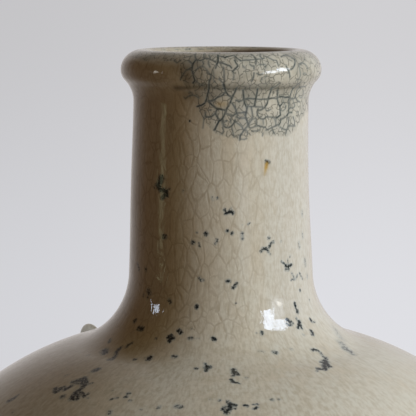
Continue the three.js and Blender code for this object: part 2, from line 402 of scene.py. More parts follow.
def rim_profile(sizes):
    """Rolled rim: joint, soft undercut, roll, rounded lip and the mouth's bore."""
    d = derive(sizes)
    foot = Spot(neck_radius(sizes, d, d.undercut_z), d.undercut_z, OUTER)
    tongue = tongue_face(sizes, d.bore, d.neck_top, foot.r, d.rim_z)
    start_slope = FILLING_POWER * sizes.undercut_reach / sizes.undercut_drop
    under = arc(d.neck_top, d.widest_z, sizes.roll_overhang, sizes.roll_lower, ROLL_JOIN, 0.0, HAIR, OUTER)
    end = under[0]
    drop = end.z - foot.z
    end_slope = -sizes.roll_overhang * math.sin(ROLL_JOIN) / (sizes.roll_lower * math.cos(ROLL_JOIN))
    crease = []
    for s in shares(drop, HAIR):
        rise = (2 * s**3 - 3 * s**2 + 1) * foot.r + (3 * s**2 - 2 * s**3) * end.r
        lean = (s**3 - 2 * s**2 + s) * start_slope * drop + (s**3 - s**2) * end_slope * drop
        crease.append(Spot(rise + lean, foot.z + drop * s, OUTER))
    reach = d.neck_top + sizes.roll_overhang - d.crest_r
    over = arc(d.crest_r, d.widest_z, reach, sizes.roll_upper, 0.0, QUARTER, HAIR, OUTER)
    lip_z = d.crest_z - sizes.lip_drop
    lip = arc(d.crest_r, lip_z, sizes.lip_reach, sizes.lip_drop, QUARTER, math.pi, LIP_STEP, OUTER)
    seam = d.rim_z - sizes.slip_gap / 2
    bore = [Spot(d.bore, lip_z + (seam - lip_z) * s, INSIDE) for s in shares(lip_z - seam, BORE_STEP)]
    return closed(joined(tongue, crease, under, over, lip, bore[:-1]))


def start_piece(name):
    """The active object under its piece's name."""
    piece = bpy.context.object
    piece.name = name
    piece.data.name = name
    return piece


def turn(name, profile, steps):
    """Draws a profile vertex by vertex and spins it round the axis into a closed wall."""
    bpy.ops.object.select_all(action="DESELECT")
    bpy.ops.mesh.primitive_plane_add(size=MM)
    piece = start_piece(name)
    bpy.ops.object.mode_set(mode="EDIT")
    bpy.ops.mesh.select_all(action="SELECT")
    bpy.ops.mesh.merge(type="CENTER")
    bpy.ops.transform.translate(value=(profile[0].r, 0.0, profile[0].z))
    for last, spot in zip(profile, profile[1:]):
        step = (spot.r - last.r, 0.0, spot.z - last.z)
        bpy.ops.mesh.extrude_vertices_move(TRANSFORM_OT_translate={"value": step})
    bpy.ops.object.mode_set(mode="OBJECT")
    bpy.ops.object.modifier_add(type="SCREW")
    wheel = piece.modifiers[-1]
    wheel.axis = "Z"
    wheel.angle = 2 * math.pi
    wheel.steps = steps
    wheel.render_steps = steps
    bpy.ops.object.modifier_apply(modifier=wheel.name)
    bpy.ops.object.mode_set(mode="EDIT")
    bpy.ops.mesh.select_all(action="SELECT")
    bpy.ops.mesh.remove_doubles(threshold=MERGE)
    bpy.ops.mesh.normals_make_consistent(inside=False)
    bpy.ops.object.mode_set(mode="OBJECT")
    bpy.ops.object.shade_smooth_by_angle(angle=SMOOTH_ANGLE)
    if not piece.data.polygons:
        raise RuntimeError("the spin gave no faces for " + name)
    return piece


def places(piece):
    """Vertex places of a piece as an array."""
    spots = np.zeros(len(piece.data.vertices) * 3)
    piece.data.vertices.foreach_get("co", spots)
    return spots.reshape(-1, 3)


def select_vertices(piece, chosen):
    """Opens a piece in edit mode with only the chosen vertices selected."""
    bpy.ops.object.mode_set(mode="EDIT")
    bpy.ops.mesh.select_mode(type="VERT")
    bpy.ops.mesh.select_all(action="DESELECT")
    bpy.ops.object.mode_set(mode="OBJECT")
    piece.data.vertices.foreach_set("select", chosen)
    bpy.ops.object.mode_set(mode="EDIT")


def nearest_spots(piece, profile):
    """For each vertex, the number of the profile point that it was turned from."""
    tree = KDTree(len(profile))
    for number, spot in enumerate(profile):
        tree.insert((spot.r, 0.0, spot.z), number)
    tree.balance()
    spots = places(piece)
    radii = np.hypot(spots[:, 0], spots[:, 1])
    return np.array([tree.find((r, 0.0, z))[1] for r, z in zip(radii, spots[:, 2])])


def unroll(piece, profile, numbers, strips):
    """A UV map that unrolls the turned wall into strips, with more room for the outer skin."""
    ends = np.array([(spot.r, spot.z) for spot in profile])
    skins = np.array([spot.skin for spot in profile[1:]])
    room = np.hypot(*np.diff(ends, axis=0).T) * np.where(skins == OUTER, 1.0, HIDDEN_ROOM)
    along = np.concatenate(([0.0], np.cumsum(room))) / room.sum()

    mesh = piece.data
    corners = np.zeros(len(mesh.loops), int)
    mesh.loops.foreach_get("vertex_index", corners)
    counts = np.zeros(len(mesh.polygons), int)
    mesh.polygons.foreach_get("loop_total", counts)
    centres = np.zeros(len(mesh.polygons) * 3)
    mesh.polygons.foreach_get("center", centres)
    centres = centres.reshape(-1, 3)
    face = np.repeat(np.arange(len(counts)), counts)

    spots = places(piece)[corners]
    middle = np.arctan2(centres[:, 1], centres[:, 0]) % (2 * math.pi)
    bearing = np.arctan2(spots[:, 1], spots[:, 0])
    off = (bearing - middle[face] + math.pi) % (2 * math.pi) - math.pi
    off[np.hypot(spots[:, 0], spots[:, 1]) < MERGE * 10] = 0.0
    sector = 2 * math.pi / strips
    strip = np.floor(middle / sector)
    across = (middle[face] + off - strip[face] * sector) / sector

    up = along[numbers[corners]]
    high = np.zeros(len(counts))
    np.maximum.at(high, face, up)
    up = np.where((high[face] > 0.75) & (up < 0.25), 1.0, up)
    up = (strip[face] + BAKE_MARGIN + up * (1 - 2 * BAKE_MARGIN)) / strips
    layer = mesh.uv_layers.new(name="OFBake")
    pairs = np.stack((np.clip(across, 0.0, 1.0), up), axis=-1)
    layer.data.foreach_set("uv", pairs.ravel())


def paint(piece, name, values):
    """A value for each vertex of a piece, for its material to read."""
    layer = piece.data.attributes.get(name) or piece.data.attributes.new(name, "FLOAT", "POINT")
    layer.data.foreach_set("value", np.asarray(values, np.float32))


def step_up(low, high, value):
    """A smooth step from 0 at low to 1 at high."""
    share = np.clip((value - low) / (high - low), 0.0, 1.0)
    return share * share * (3 - 2 * share)


def dress(piece, node, material):
    """Puts a finished piece on its body in place of its node."""
    piece.data.materials.clear()
    piece.data.materials.append(material)
    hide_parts(node)
    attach(piece, "root")


# Shader nodes


def node(tree, kind, inputs=None, **settings):
    """A new node with its settings; an input takes a value, or a socket to link from."""
    made = tree.nodes.new(kind)
    for name, value in settings.items():
        setattr(made, name, value)
    for key, value in (inputs or {}).items():
        if isinstance(value, bpy.types.NodeSocket):
            tree.links.new(value, made.inputs[key])
        else:
            made.inputs[key].default_value = value
    return made


def math_of(tree, operation, first, second=0.0, third=0.0):
    """A Math node's result."""
    values = {0: first, 1: second}
    if operation == "MULTIPLY_ADD":
        values[2] = third
    return node(tree, "ShaderNodeMath", values, operation=operation).outputs[0]


def times(tree, first, second):
    """One number times another."""
    return math_of(tree, "MULTIPLY", first, second)


def times_plus(tree, first, second, third):
    """One number times another, plus a third."""
    return math_of(tree, "MULTIPLY_ADD", first, second, third)


def blend(tree, share, under, over, mode="MIX"):
    """One colour laid over another."""
    inputs = {0: share, 6: under, 7: over}
    mixed = node(tree, "ShaderNodeMix", inputs, data_type="RGBA", blend_type=mode)
    return mixed.outputs[2]


def eased(tree, value, low, high, to_low=0.0, to_high=1.0):
    """A smooth step between two values."""
    inputs = {"Value": value, "From Min": low, "From Max": high, "To Min": to_low, "To Max": to_high}
    return node(tree, "ShaderNodeMapRange", inputs, interpolation_type="SMOOTHSTEP").outputs["Result"]


def stretched(tree, vector, scale):
    """A pattern's coordinates, scaled along each axis."""
    return node(tree, "ShaderNodeMapping", {"Vector": vector, "Scale": scale}).outputs["Vector"]


def cloud(tree, vector, size, detail=2.0, roughness=0.5):
    """Soft noise with features of about a size in metres."""
    inputs = {"Vector": vector, "Scale": 1.0 / size, "Detail": detail, "Roughness": roughness}
    return node(tree, "ShaderNodeTexNoise", inputs)


def rgb(value):
    """A property's colour as a socket value."""
    return (value[0], value[1], value[2], 1.0)


def new_group(name, inputs, outputs):
    """An empty shader group with its sockets, and its two end nodes."""
    tree = bpy.data.node_groups.new(name, "ShaderNodeTree")
    for label, kind in inputs:
        tree.interface.new_socket(name=label, in_out="INPUT", socket_type=kind)
    for label, kind in outputs:
        tree.interface.new_socket(name=label, in_out="OUTPUT", socket_type=kind)
    return tree, tree.nodes.new("NodeGroupInput"), tree.nodes.new("NodeGroupOutput")


def vector_of(tree, operation, first, second=(0.0, 0.0, 0.0), output=0):
    """A Vector Math node's result."""
    return node(tree, "ShaderNodeVectorMath", {0: first, 1: second}, operation=operation).outputs[output]


def scaled(tree, vector, share):
    """A vector times a number."""
    return node(tree, "ShaderNodeVectorMath", {0: vector, "Scale": share}, operation="SCALE").outputs[0]


def crackle_group():
    """Wavering crack lines of an even width on the skin, with a random push for each cell."""
    if "Crackle" in bpy.data.node_groups:
        return bpy.data.node_groups["Crackle"]
    number = "NodeSocketFloat"
    vector = "NodeSocketVector"
    inputs = [("Vector", vector), ("Stretch", vector), ("Cell", number), ("Waver", number), ("Width", number)]
    outputs = [("Line", number), ("Push", vector)]
    tree, start, end = new_group("Crackle", inputs, outputs)
    given = start.outputs
    drawn = vector_of(tree, "MULTIPLY", given["Vector"], given["Stretch"])
    wave_scale = math_of(tree, "DIVIDE", 0.9, given["Cell"])
    waves = node(tree, "ShaderNodeTexNoise", {"Vector": drawn, "Scale": wave_scale, "Detail": 3.0})
    sway = vector_of(tree, "SUBTRACT", waves.outputs["Color"], (0.5, 0.5, 0.5))
    bent = vector_of(tree, "ADD", drawn, scaled(tree, sway, given["Waver"]))

    # The plane between the two nearest seeds, and how steeply it meets the skin
    seeds = {"Vector": bent, "Scale": math_of(tree, "DIVIDE", 1.0, given["Cell"])}
    first = node(tree, "ShaderNodeTexVoronoi", seeds, feature="F1").outputs
    second = node(tree, "ShaderNodeTexVoronoi", seeds, feature="F2").outputs
    gap = vector_of(tree, "SUBTRACT", second["Position"], first["Position"])
    middle = scaled(tree, vector_of(tree, "ADD", second["Position"], first["Position"]), 0.5)
    across = vector_of(tree, "NORMALIZE", gap)
    depth = vector_of(tree, "DOT_PRODUCT", vector_of(tree, "SUBTRACT", middle, bent), across, "Value")
    slope = vector_of(tree, "MULTIPLY", across, given["Stretch"])
    facing = node(tree, "ShaderNodeNewGeometry").outputs["Normal"]
    whole = vector_of(tree, "DOT_PRODUCT", slope, slope, "Value")
    lost = vector_of(tree, "DOT_PRODUCT", slope, facing, "Value")
    kept = math_of(tree, "SUBTRACT", whole, times(tree, lost, lost))
    kept = math_of(tree, "SQRT", math_of(tree, "MAXIMUM", kept, 0.03))
    away = math_of(tree, "DIVIDE", depth, kept)

    uneven = times_plus(tree, waves.outputs["Fac"], 1.8, 0.1)
    width = times(tree, given["Width"], uneven)
    line = eased(tree, away, times(tree, width, 0.2), width, 1.0, 0.0)
    tree.links.new(line, end.inputs["Line"])
    tree.links.new(scaled(tree, first["Color"], 0.2), end.inputs["Push"])
    return tree


def crackle(tree, vector, stretch, cell, waver, width):
    """A crackle group placed in a tree: its lines, and coordinates for cracks inside its cells."""
    inputs = {"Vector": vector, "Stretch": stretch, "Cell": cell, "Waver": waver, "Width": width}
    made = node(tree, "ShaderNodeGroup", inputs, node_tree=crackle_group()).outputs
    return made["Line"], vector_of(tree, "ADD", vector, made["Push"])


def speckle_group():
    """Small grains scattered at random, for iron in the glaze and grog in the clay."""
    if "Speckle" in bpy.data.node_groups:
        return bpy.data.node_groups["Speckle"]
    number = "NodeSocketFloat"
    inputs = [("Vector", "NodeSocketVector"), ("Spacing", number), ("Grain", number), ("Share", number)]
    tree, start, end = new_group("Speckle", inputs, [("Mask", number)])
    scale = math_of(tree, "DIVIDE", 1.0, start.outputs["Spacing"])
    seeds = {"Vector": start.outputs["Vector"], "Scale": scale}
    cell = node(tree, "ShaderNodeTexVoronoi", seeds, feature="F1").outputs
    away = times(tree, cell["Distance"], start.outputs["Spacing"])
    chance = node(tree, "ShaderNodeSeparateColor", {0: cell["Color"]})
    size = times(tree, start.outputs["Grain"], chance.outputs[1])
    inner = times(tree, size, 0.3)
    grain = eased(tree, away, inner, size, 1.0, 0.0)
    kept = math_of(tree, "LESS_THAN", chance.outputs[0], start.outputs["Share"])
    mask = times(tree, grain, kept)
    tree.links.new(mask, end.inputs["Mask"])
    return tree


def speckle(tree, vector, spacing, grain, share):
    """A speckle group placed in a tree."""
    inputs = {"Vector": vector, "Spacing": spacing, "Grain": grain, "Share": share}
    return node(tree, "ShaderNodeGroup", inputs, node_tree=speckle_group()).outputs["Mask"]


def painted(tree, name):
    """A painted value of the piece."""
    return node(tree, "ShaderNodeAttribute", attribute_name=name).outputs["Fac"]


def new_material(name):
    """An empty node material and its tree."""
    material = bpy.data.materials.new(name)
    material.use_nodes = True
    material.node_tree.nodes.clear()
    return material, material.node_tree


# Where the glaze changes: heights over the collar and under the roll, and reaches to the right of the axis.
# Painted shade darkens the glaze on the lit right of the neck between the painted shade heights.
NECK_GRAIN = (0.166, 0.192)
NECK_CRAZING = (0.168, 0.182)
NECK_PAINTED_SHADE = (0.172, 0.186)
ROLL_PAINTED_SHADE = (0.238, 0.229)
GRAIN_ASIDE = (0.01, 0.055)
# Crazing reaches: the lines are drawn stronger on the shaded left as painted shade
NECK_CRAZING_SHADE_ASIDE = (-0.002, 0.016)
TOP_CRAZING_SHADE_ASIDE = (0.0, 0.045)
PAINTED_SHADE_ASIDE = (0.006, 0.018)
GRAIN_RADIUS = 50 * MM


def down_wall(tree, place):
    """Coordinates for a grain that is drawn out down the wall, true round one radius."""
    flat = vector_of(tree, "MULTIPLY", place, (1.0, 1.0, 0.0))
    around = scaled(tree, vector_of(tree, "NORMALIZE", flat), GRAIN_RADIUS)
    return vector_of(tree, "ADD", around, vector_of(tree, "MULTIPLY", place, (0.40, 0.40, 0.60)))


def glaze_ground(tree, paints, place):
    """Thick and thin glaze, with runs down the neck and a fine grain: its colour, and the grain."""
    broad = cloud(tree, place, 22 * MM, 3.0).outputs["Fac"]
    runs = cloud(tree, stretched(tree, place, (1, 1, 0.12)), 3.2 * MM, 3.0).outputs["Fac"]
    mottle = cloud(tree, place, 1.6 * MM, 4.0, 0.65).outputs["Fac"]
    shade = blend(tree, eased(tree, broad, 0.36, 0.70), rgb(paints.glaze), rgb(paints.glaze_warm))
    thick = times(tree, eased(tree, runs, 0.40, 0.68), 0.7)
    shade = blend(tree, thick, shade, rgb(paints.glaze_cool))
    grain = cloud(tree, down_wall(tree, place), 1.1 * MM, 3.0, 0.6).outputs["Fac"]
    rough = times_plus(tree, mottle, 0.4, times(tree, grain, 0.6))
    spot = node(tree, "ShaderNodeSeparateXYZ", {0: place}).outputs
    on_top = eased(tree, spot["X"], *GRAIN_ASIDE, 0.98, 0.52)
    deep = eased(tree, spot["Z"], *NECK_GRAIN, on_top, 0.68)
    pits = times(tree, eased(tree, rough, 0.40, 0.64), deep)
    shade = blend(tree, pits, shade, rgb(paints.glaze_pit))
    # Painted shade: a cool tint darkens the glaze on the lit right of the neck, between collar and roll
    over_collar = eased(tree, spot["Z"], *NECK_PAINTED_SHADE)
    on_wall = times(tree, over_collar, eased(tree, spot["Z"], *ROLL_PAINTED_SHADE))
    painted_shade = times(tree, eased(tree, spot["X"], *PAINTED_SHADE_ASIDE), on_wall)
    return blend(tree, painted_shade, shade, rgb(paints.painted_shade_tint), "MULTIPLY"), rough


def crazing(tree, place):
    """Soft unsmoked crackle: long wavering cracks down the neck, a faint small net on the shoulder."""
    spot = node(tree, "ShaderNodeSeparateXYZ", {0: place}).outputs
    on_neck = eased(tree, spot["Z"], *NECK_CRAZING)
    # Painted shade: the lines are drawn stronger on the left, where the light grazes, and fainter on the lit
    # right
    on_wall = eased(tree, spot["X"], *NECK_CRAZING_SHADE_ASIDE, 0.92, 0.55)
    on_top = eased(tree, spot["X"], *TOP_CRAZING_SHADE_ASIDE, 0.42, 0.10)
    fading = cloud(tree, place, 6 * MM, 3.0).outputs["Fac"]
    strong = eased(tree, fading, 0.30, 0.62, 0.58, 1.0)
    long_line, within = crackle(tree, place, (1, 1, 0.5), 2.7 * MM, 1.6 * MM, 0.50 * MM)
    cross_line, _ = crackle(tree, within, (1, 1, 0.6), 2.4 * MM, 1.1 * MM, 0.50 * MM)
    net_line, _ = crackle(tree, place, (1, 1, 1), 1.7 * MM, 1.4 * MM, 0.36 * MM)
    neck_line = math_of(tree, "MAXIMUM", long_line, times(tree, cross_line, 0.50))
    level = node(tree, "ShaderNodeMix", {0: on_neck, 2: on_top, 3: on_wall}, data_type="FLOAT")
    level = times(tree, level.outputs[0], strong)
    line = node(tree, "ShaderNodeMix", {0: on_neck, 2: net_line, 3: neck_line}, data_type="FLOAT")
    return times(tree, line.outputs[0], level)


def smoking(tree, paints, place, shade):
    """Smoked crackle round the rim: the colour with its greyed cells and dark lines, and the lines."""
    ragged = cloud(tree, place, 4.5 * MM, 3.0).outputs["Fac"]
    smoke = times_plus(tree, ragged, 0.7, painted(tree, "smoke"))
    smoke = eased(tree, smoke, 0.62, 0.97)
    line, within = crackle(tree, place, (1, 1, 0.85), 3.0 * MM, 2.2 * MM, 0.25 * MM)
    inner, _ = crackle(tree, within, (1, 1, 0.85), 1.9 * MM, 1.3 * MM, 0.19 * MM)
    greyed = times(tree, eased(tree, ragged, 0.35, 0.70, 0.30, 0.85), smoke)
    shade = blend(tree, greyed, shade, rgb(paints.smoke_cell))
    # Brown scorch and painted shade on the left of the roll, the crease and the neck top
    shade = blend(tree, painted(tree, "scorch_shade"), shade, rgb(paints.scorch_shade))
    soot = painted(tree, "cracks")
    shade = blend(tree, painted(tree, "stain"), shade, rgb(paints.smoke_stain))
    halo = times(tree, eased(tree, soot, 0.0, 0.52), 0.60)
    shade = blend(tree, halo, shade, rgb(paints.smoke_haze))
    unseen = times(tree, painted(tree, "unseen"), smoke)
    faint = times(tree, inner, times(tree, smoke, 0.60))
    dark = math_of(tree, "MAXIMUM", times(tree, line, unseen), faint)
    broken = cloud(tree, place, 0.9 * MM, 2.0).outputs["Fac"]
    gaps = eased(tree, broken, 0.30, 0.60, 0.50, 1.0)
    dark = math_of(tree, "MAXIMUM", dark, times(tree, eased(tree, soot, 0.26, 0.94), gaps))
    return blend(tree, times(tree, dark, 0.97), shade, rgb(paints.smoke_line)), dark


def blotting(tree, paints, place, shade):
    """Carbon blots, grains gathered along short cracks with a haze round them: the colour, and the blots."""
    carbon = painted(tree, "carbon")
    grain = cloud(tree, place, 0.55 * MM, 3.0, 0.65).outputs["Fac"]
    thread, _ = crackle(tree, place, (1, 1, 1), 1.15 * MM, 1.0 * MM, 0.22 * MM)
    rough = times_plus(tree, grain, 1.7, -1.00)
    rough = times_plus(tree, thread, 0.30, rough)
    blot = eased(tree, times_plus(tree, carbon, 1.12, rough), 0.22, 1.00)
    blot = times(tree, blot, eased(tree, carbon, 0.10, 0.35))
    haze = times(tree, eased(tree, carbon, 0.02, 0.60), eased(tree, grain, 0.28, 0.62, 0.30, 0.72))
    shade = blend(tree, haze, shade, rgb(paints.carbon_fringe))
    shade = blend(tree, times(tree, blot, 0.985), shade, rgb(paints.carbon))
    specks = speckle(tree, place, 5.5 * MM, 0.42 * MM, 0.30)
    specks = times(tree, specks, painted(tree, "unseen"))
    return blend(tree, times(tree, specks, 0.5), shade, rgb(paints.carbon)), blot


def glaze_material():
    """Crazed glossy glaze with smoked crackle, carbon blots, painted shade, and a brown wash inside that
    paints shade.
    """
    if "bottle_glaze" in bpy.data.materials:
        return bpy.data.materials["bottle_glaze"]
    paints = bpy.context.scene.bottle_colours
    material, tree = new_material("bottle_glaze")
    place = node(tree, "ShaderNodeTexCoord").outputs["Object"]
    inside = painted(tree, "inside")
    shade, mottle = glaze_ground(tree, paints, place)
    craze = crazing(tree, place)
    stained = times(tree, times(tree, craze, craze), 0.60)
    shade = blend(tree, stained, shade, rgb(paints.craze))
    shade, dark = smoking(tree, paints, place, shade)
    shade, blot = blotting(tree, paints, place, shade)
    shade = blend(tree, painted(tree, "rust"), shade, rgb(paints.rust))
    # Brown wash and painted shade inside the vessel, reaching highest on the shaded far right
    shade = blend(tree, inside, shade, rgb(paints.inner))

    # Gloss, and in millimetres the swell of a thrown wall and the sunken cracks
    gloss = times_plus(tree, mottle, 0.04, 0.035)
    gloss = times_plus(tree, blot, 0.10, gloss)
    gloss = times_plus(tree, inside, 0.30, gloss)
    swell = cloud(tree, place, 7 * MM, 2.0).outputs["Fac"]
    height = times(tree, swell, 0.085)
    height = times_plus(tree, mottle, 0.018, height)
    height = times_plus(tree, craze, -0.020, height)
    height = times_plus(tree, dark, -0.010, height)
    bump = node(tree, "ShaderNodeBump", {"Height": height, "Strength": 1.0, "Distance": 1.0 * MM})
    skin = node(
        tree,
        "ShaderNodeBsdfPrincipled",
        {"Base Color": shade, "Roughness": gloss, "IOR": 1.5, "Normal": bump.outputs["Normal"]},
    )
    node(tree, "ShaderNodeOutputMaterial", {"Surface": skin.outputs["BSDF"]})
    return material


def clay_material():
    """Bare clay of the foot, smoked dark, with grog and rubbed edges."""
    if "bottle_clay" in bpy.data.materials:
        return bpy.data.materials["bottle_clay"]
    paints = bpy.context.scene.bottle_colours
    material, tree = new_material("bottle_clay")
    place = node(tree, "ShaderNodeTexCoord").outputs["Object"]
    rubbed = painted(tree, "rubbed")
    broad = cloud(tree, place, 14 * MM, 3.0).outputs["Fac"]
    gritty = cloud(tree, place, 1.1 * MM, 5.0, 0.7).outputs["Fac"]
    rings = cloud(tree, stretched(tree, place, (0.05, 0.05, 1.0)), 1.3 * MM, 2.0).outputs["Fac"]
    grog = speckle(tree, place, 2.4 * MM, 0.6 * MM, 0.5)
    shade = blend(tree, eased(tree, broad, 0.35, 0.7), rgb(paints.clay), rgb(paints.clay_pale))
    worn = times(tree, rubbed, eased(tree, gritty, 0.35, 0.6))
    shade = blend(tree, worn, shade, rgb(paints.clay_pale))
    shade = blend(tree, times(tree, grog, 0.6), shade, rgb(paints.glaze_warm))
    matt = times_plus(tree, gritty, 0.25, 0.68)
    height = times_plus(tree, rings, 0.6, gritty)
    bump = node(tree, "ShaderNodeBump", {"Height": height, "Strength": 0.4, "Distance": 0.2 * MM})
    skin = node(
        tree,
        "ShaderNodeBsdfPrincipled",
        {"Base Color": shade, "Roughness": matt, "Normal": bump.outputs["Normal"]},
    )
    node(tree, "ShaderNodeOutputMaterial", {"Surface": skin.outputs["BSDF"]})
    return material


# Carbon marks read from the photograph: half width in millimetres, strength, then pixels x and y along it
NECK_MARKS = (
    (0.80, 1.0, 161.5, 178, 160, 182, 158, 185.5),
    (0.72, 1.0, 158, 185.5, 160.5, 189.5, 164, 191),
    (0.75, 1.0, 165, 191, 166.5, 194.5),
    (0.60, 0.95, 165.5, 195, 162.5, 197.5),
    (0.46, 0.5, 167, 190.5, 169.5, 189),
    (0.48, 0.4, 155, 185, 154.5, 188),
    (0.48, 0.4, 183, 191),
    (0.30, 0.9, 190, 121),
    (0.28, 0.7, 186, 49.4, 190, 48.8),
    (0.24, 0.5, 144, 50.4, 147, 50.1),
    (0.24, 0.4, 162, 50, 165, 49.8),
    (0.24, 0.45, 175, 49.6, 178, 49.4),
    (0.26, 0.45, 198, 49, 203, 48.8),
    (0.26, 0.45, 207, 49, 212, 48.8),
    (0.48, 0.9, 266.5, 161.5, 268.6, 162.5),
    (0.43, 0.9, 267.5, 162.3, 266.4, 164),
    (0.40, 0.85, 224.8, 209.5, 224.9, 211),
    (0.46, 1.0, 226, 213.3, 229, 212.2, 231, 211.2, 232.6, 212.8),
    (0.30, 0.4, 230, 209, 232, 207),
    (0.43, 0.6, 217.2, 198),
    (0.34, 0.4, 212, 197, 213, 200),
    (0.54, 0.95, 206, 233.8),
    (0.36, 0.5, 197, 232.5),
    (0.58, 0.8, 193, 242.5),
    (0.36, 0.5, 199, 243, 199.7, 246.5),
    (0.46, 0.5, 217, 239.5, 215.5, 243.5),
    (0.46, 0.85, 227.2, 231),
    (0.43, 0.9, 232.2, 233.3),
    (0.43, 0.55, 242, 233, 242.3, 239),
    (0.32, 0.5, 249.5, 223, 248, 224.3),
    (0.30, 0.3, 242.5, 225),
    (0.42, 0.8, 268.8, 238),
    (0.38, 0.78, 273.5, 242, 270.5, 243.7, 269, 247.3),
    (0.40, 0.80, 269, 247.3, 266, 249, 263, 248.3),
    (0.46, 0.62, 263, 248.5, 261, 251.3),
    (0.34, 0.72, 266.5, 249, 268.5, 252),
    (0.34, 0.45, 268.5, 252, 270.3, 254.5),
    (0.36, 0.45, 281, 241.5),
    (0.34, 0.65, 281.5, 261.5, 285.5, 265),
    (0.44, 0.76, 285.5, 265.3, 288, 266, 291.5, 265),
    (0.42, 0.70, 286, 266, 285.6, 269),
    (0.44, 0.70, 286, 269.5, 288.5, 269.5),
    (0.32, 0.66, 288.7, 266.5, 288.7, 269.5),
    (0.32, 0.4, 288.5, 263, 287.5, 259.5),
    (0.32, 0.35, 289.5, 257.5, 290.5, 255.5),
    (0.62, 0.38, 299, 243, 299.5, 247.5),
    (0.70, 0.36, 302, 212, 302.2, 215),
    (0.70, 0.32, 302.5, 234, 302.7, 237),
    (0.80, 0.38, 304.8, 260, 305.5, 264.5),
    (0.36, 0.5, 291.5, 273, 294, 277.5),
    (0.36, 0.5, 297.5, 275, 295.5, 279, 291, 280),
    (0.34, 0.5, 299.5, 273, 302.5, 279),
    (0.60, 0.35, 307, 275, 307.5, 278),
    (0.43, 0.7, 300, 290.3),
    (0.43, 0.4, 309.5, 300),
    (0.66, 0.85, 164, 236.7, 165, 236.7),
    (0.60, 0.5, 145.5, 268.5, 146, 270),
    (0.60, 0.5, 137.5, 264, 139, 269),
    (0.43, 0.6, 199.3, 277.8, 201.3, 280.3, 203, 280),
    (0.48, 0.9, 227.3, 281.2, 228.8, 281.2),
    (0.46, 0.75, 236.5, 283.5, 235, 286, 233.2, 287.8),
    (0.50, 1.0, 196.7, 306, 196.9, 307.5),
    (0.34, 0.45, 236, 303.3),
    (0.72, 0.7, 148, 290.5, 149.5, 293),
    (0.60, 0.5, 144, 295.5),
    (0.50, 0.5, 147.5, 298),
    (0.54, 0.6, 169, 299.5, 170.5, 302.5),
)
COLLAR_MARKS = (
    (0.46, 0.9, 294.8, 303.5, 296, 308),
    (0.50, 0.9, 297, 310, 297.4, 312),
    (0.46, 1.0, 287.2, 320, 290.5, 321.8),
    (0.34, 0.7, 286.7, 323.5, 288.5, 325.2, 291.5, 325, 293, 323.3),
    (0.43, 0.5, 296.5, 318, 297.3, 320.5),
    (0.58, 1.0, 299.5, 322, 299.5, 325),
    (0.43, 0.9, 299, 324.5, 298, 328),
    (0.41, 0.8, 300.6, 324.5, 301.6, 328),
    (0.31, 0.4, 301.6, 328, 302.8, 329.7),
    (0.46, 0.9, 310.2, 319.3, 312, 321.3),
    (0.38, 0.5, 312, 321.3, 314.5, 321.8),
    (0.62, 0.8, 311.4, 331.3, 312.5, 334.3),
    (0.50, 0.4, 303.5, 334.7),
    (0.50, 0.7, 261.7, 332.3, 261.7, 333.8),
    (0.34, 0.4, 256.5, 333),
    (0.54, 1.0, 178.8, 330.6, 180.8, 332.6),
    (0.62, 1.0, 169, 337, 172.5, 338.5),
    (0.58, 0.95, 170.5, 336, 169.5, 341),
    (0.50, 0.5, 156, 338.5),
    (0.53, 0.8, 189.8, 338.3, 191, 338.3),
    (0.26, 0.3, 192, 338.5, 200, 338.2),
    (0.36, 0.35, 191.5, 328.7),
    (0.53, 1.0, 213, 338.2, 214.6, 339.7),
    (0.66, 0.8, 135, 321),
    (0.72, 0.8, 139, 328, 142, 329),
)
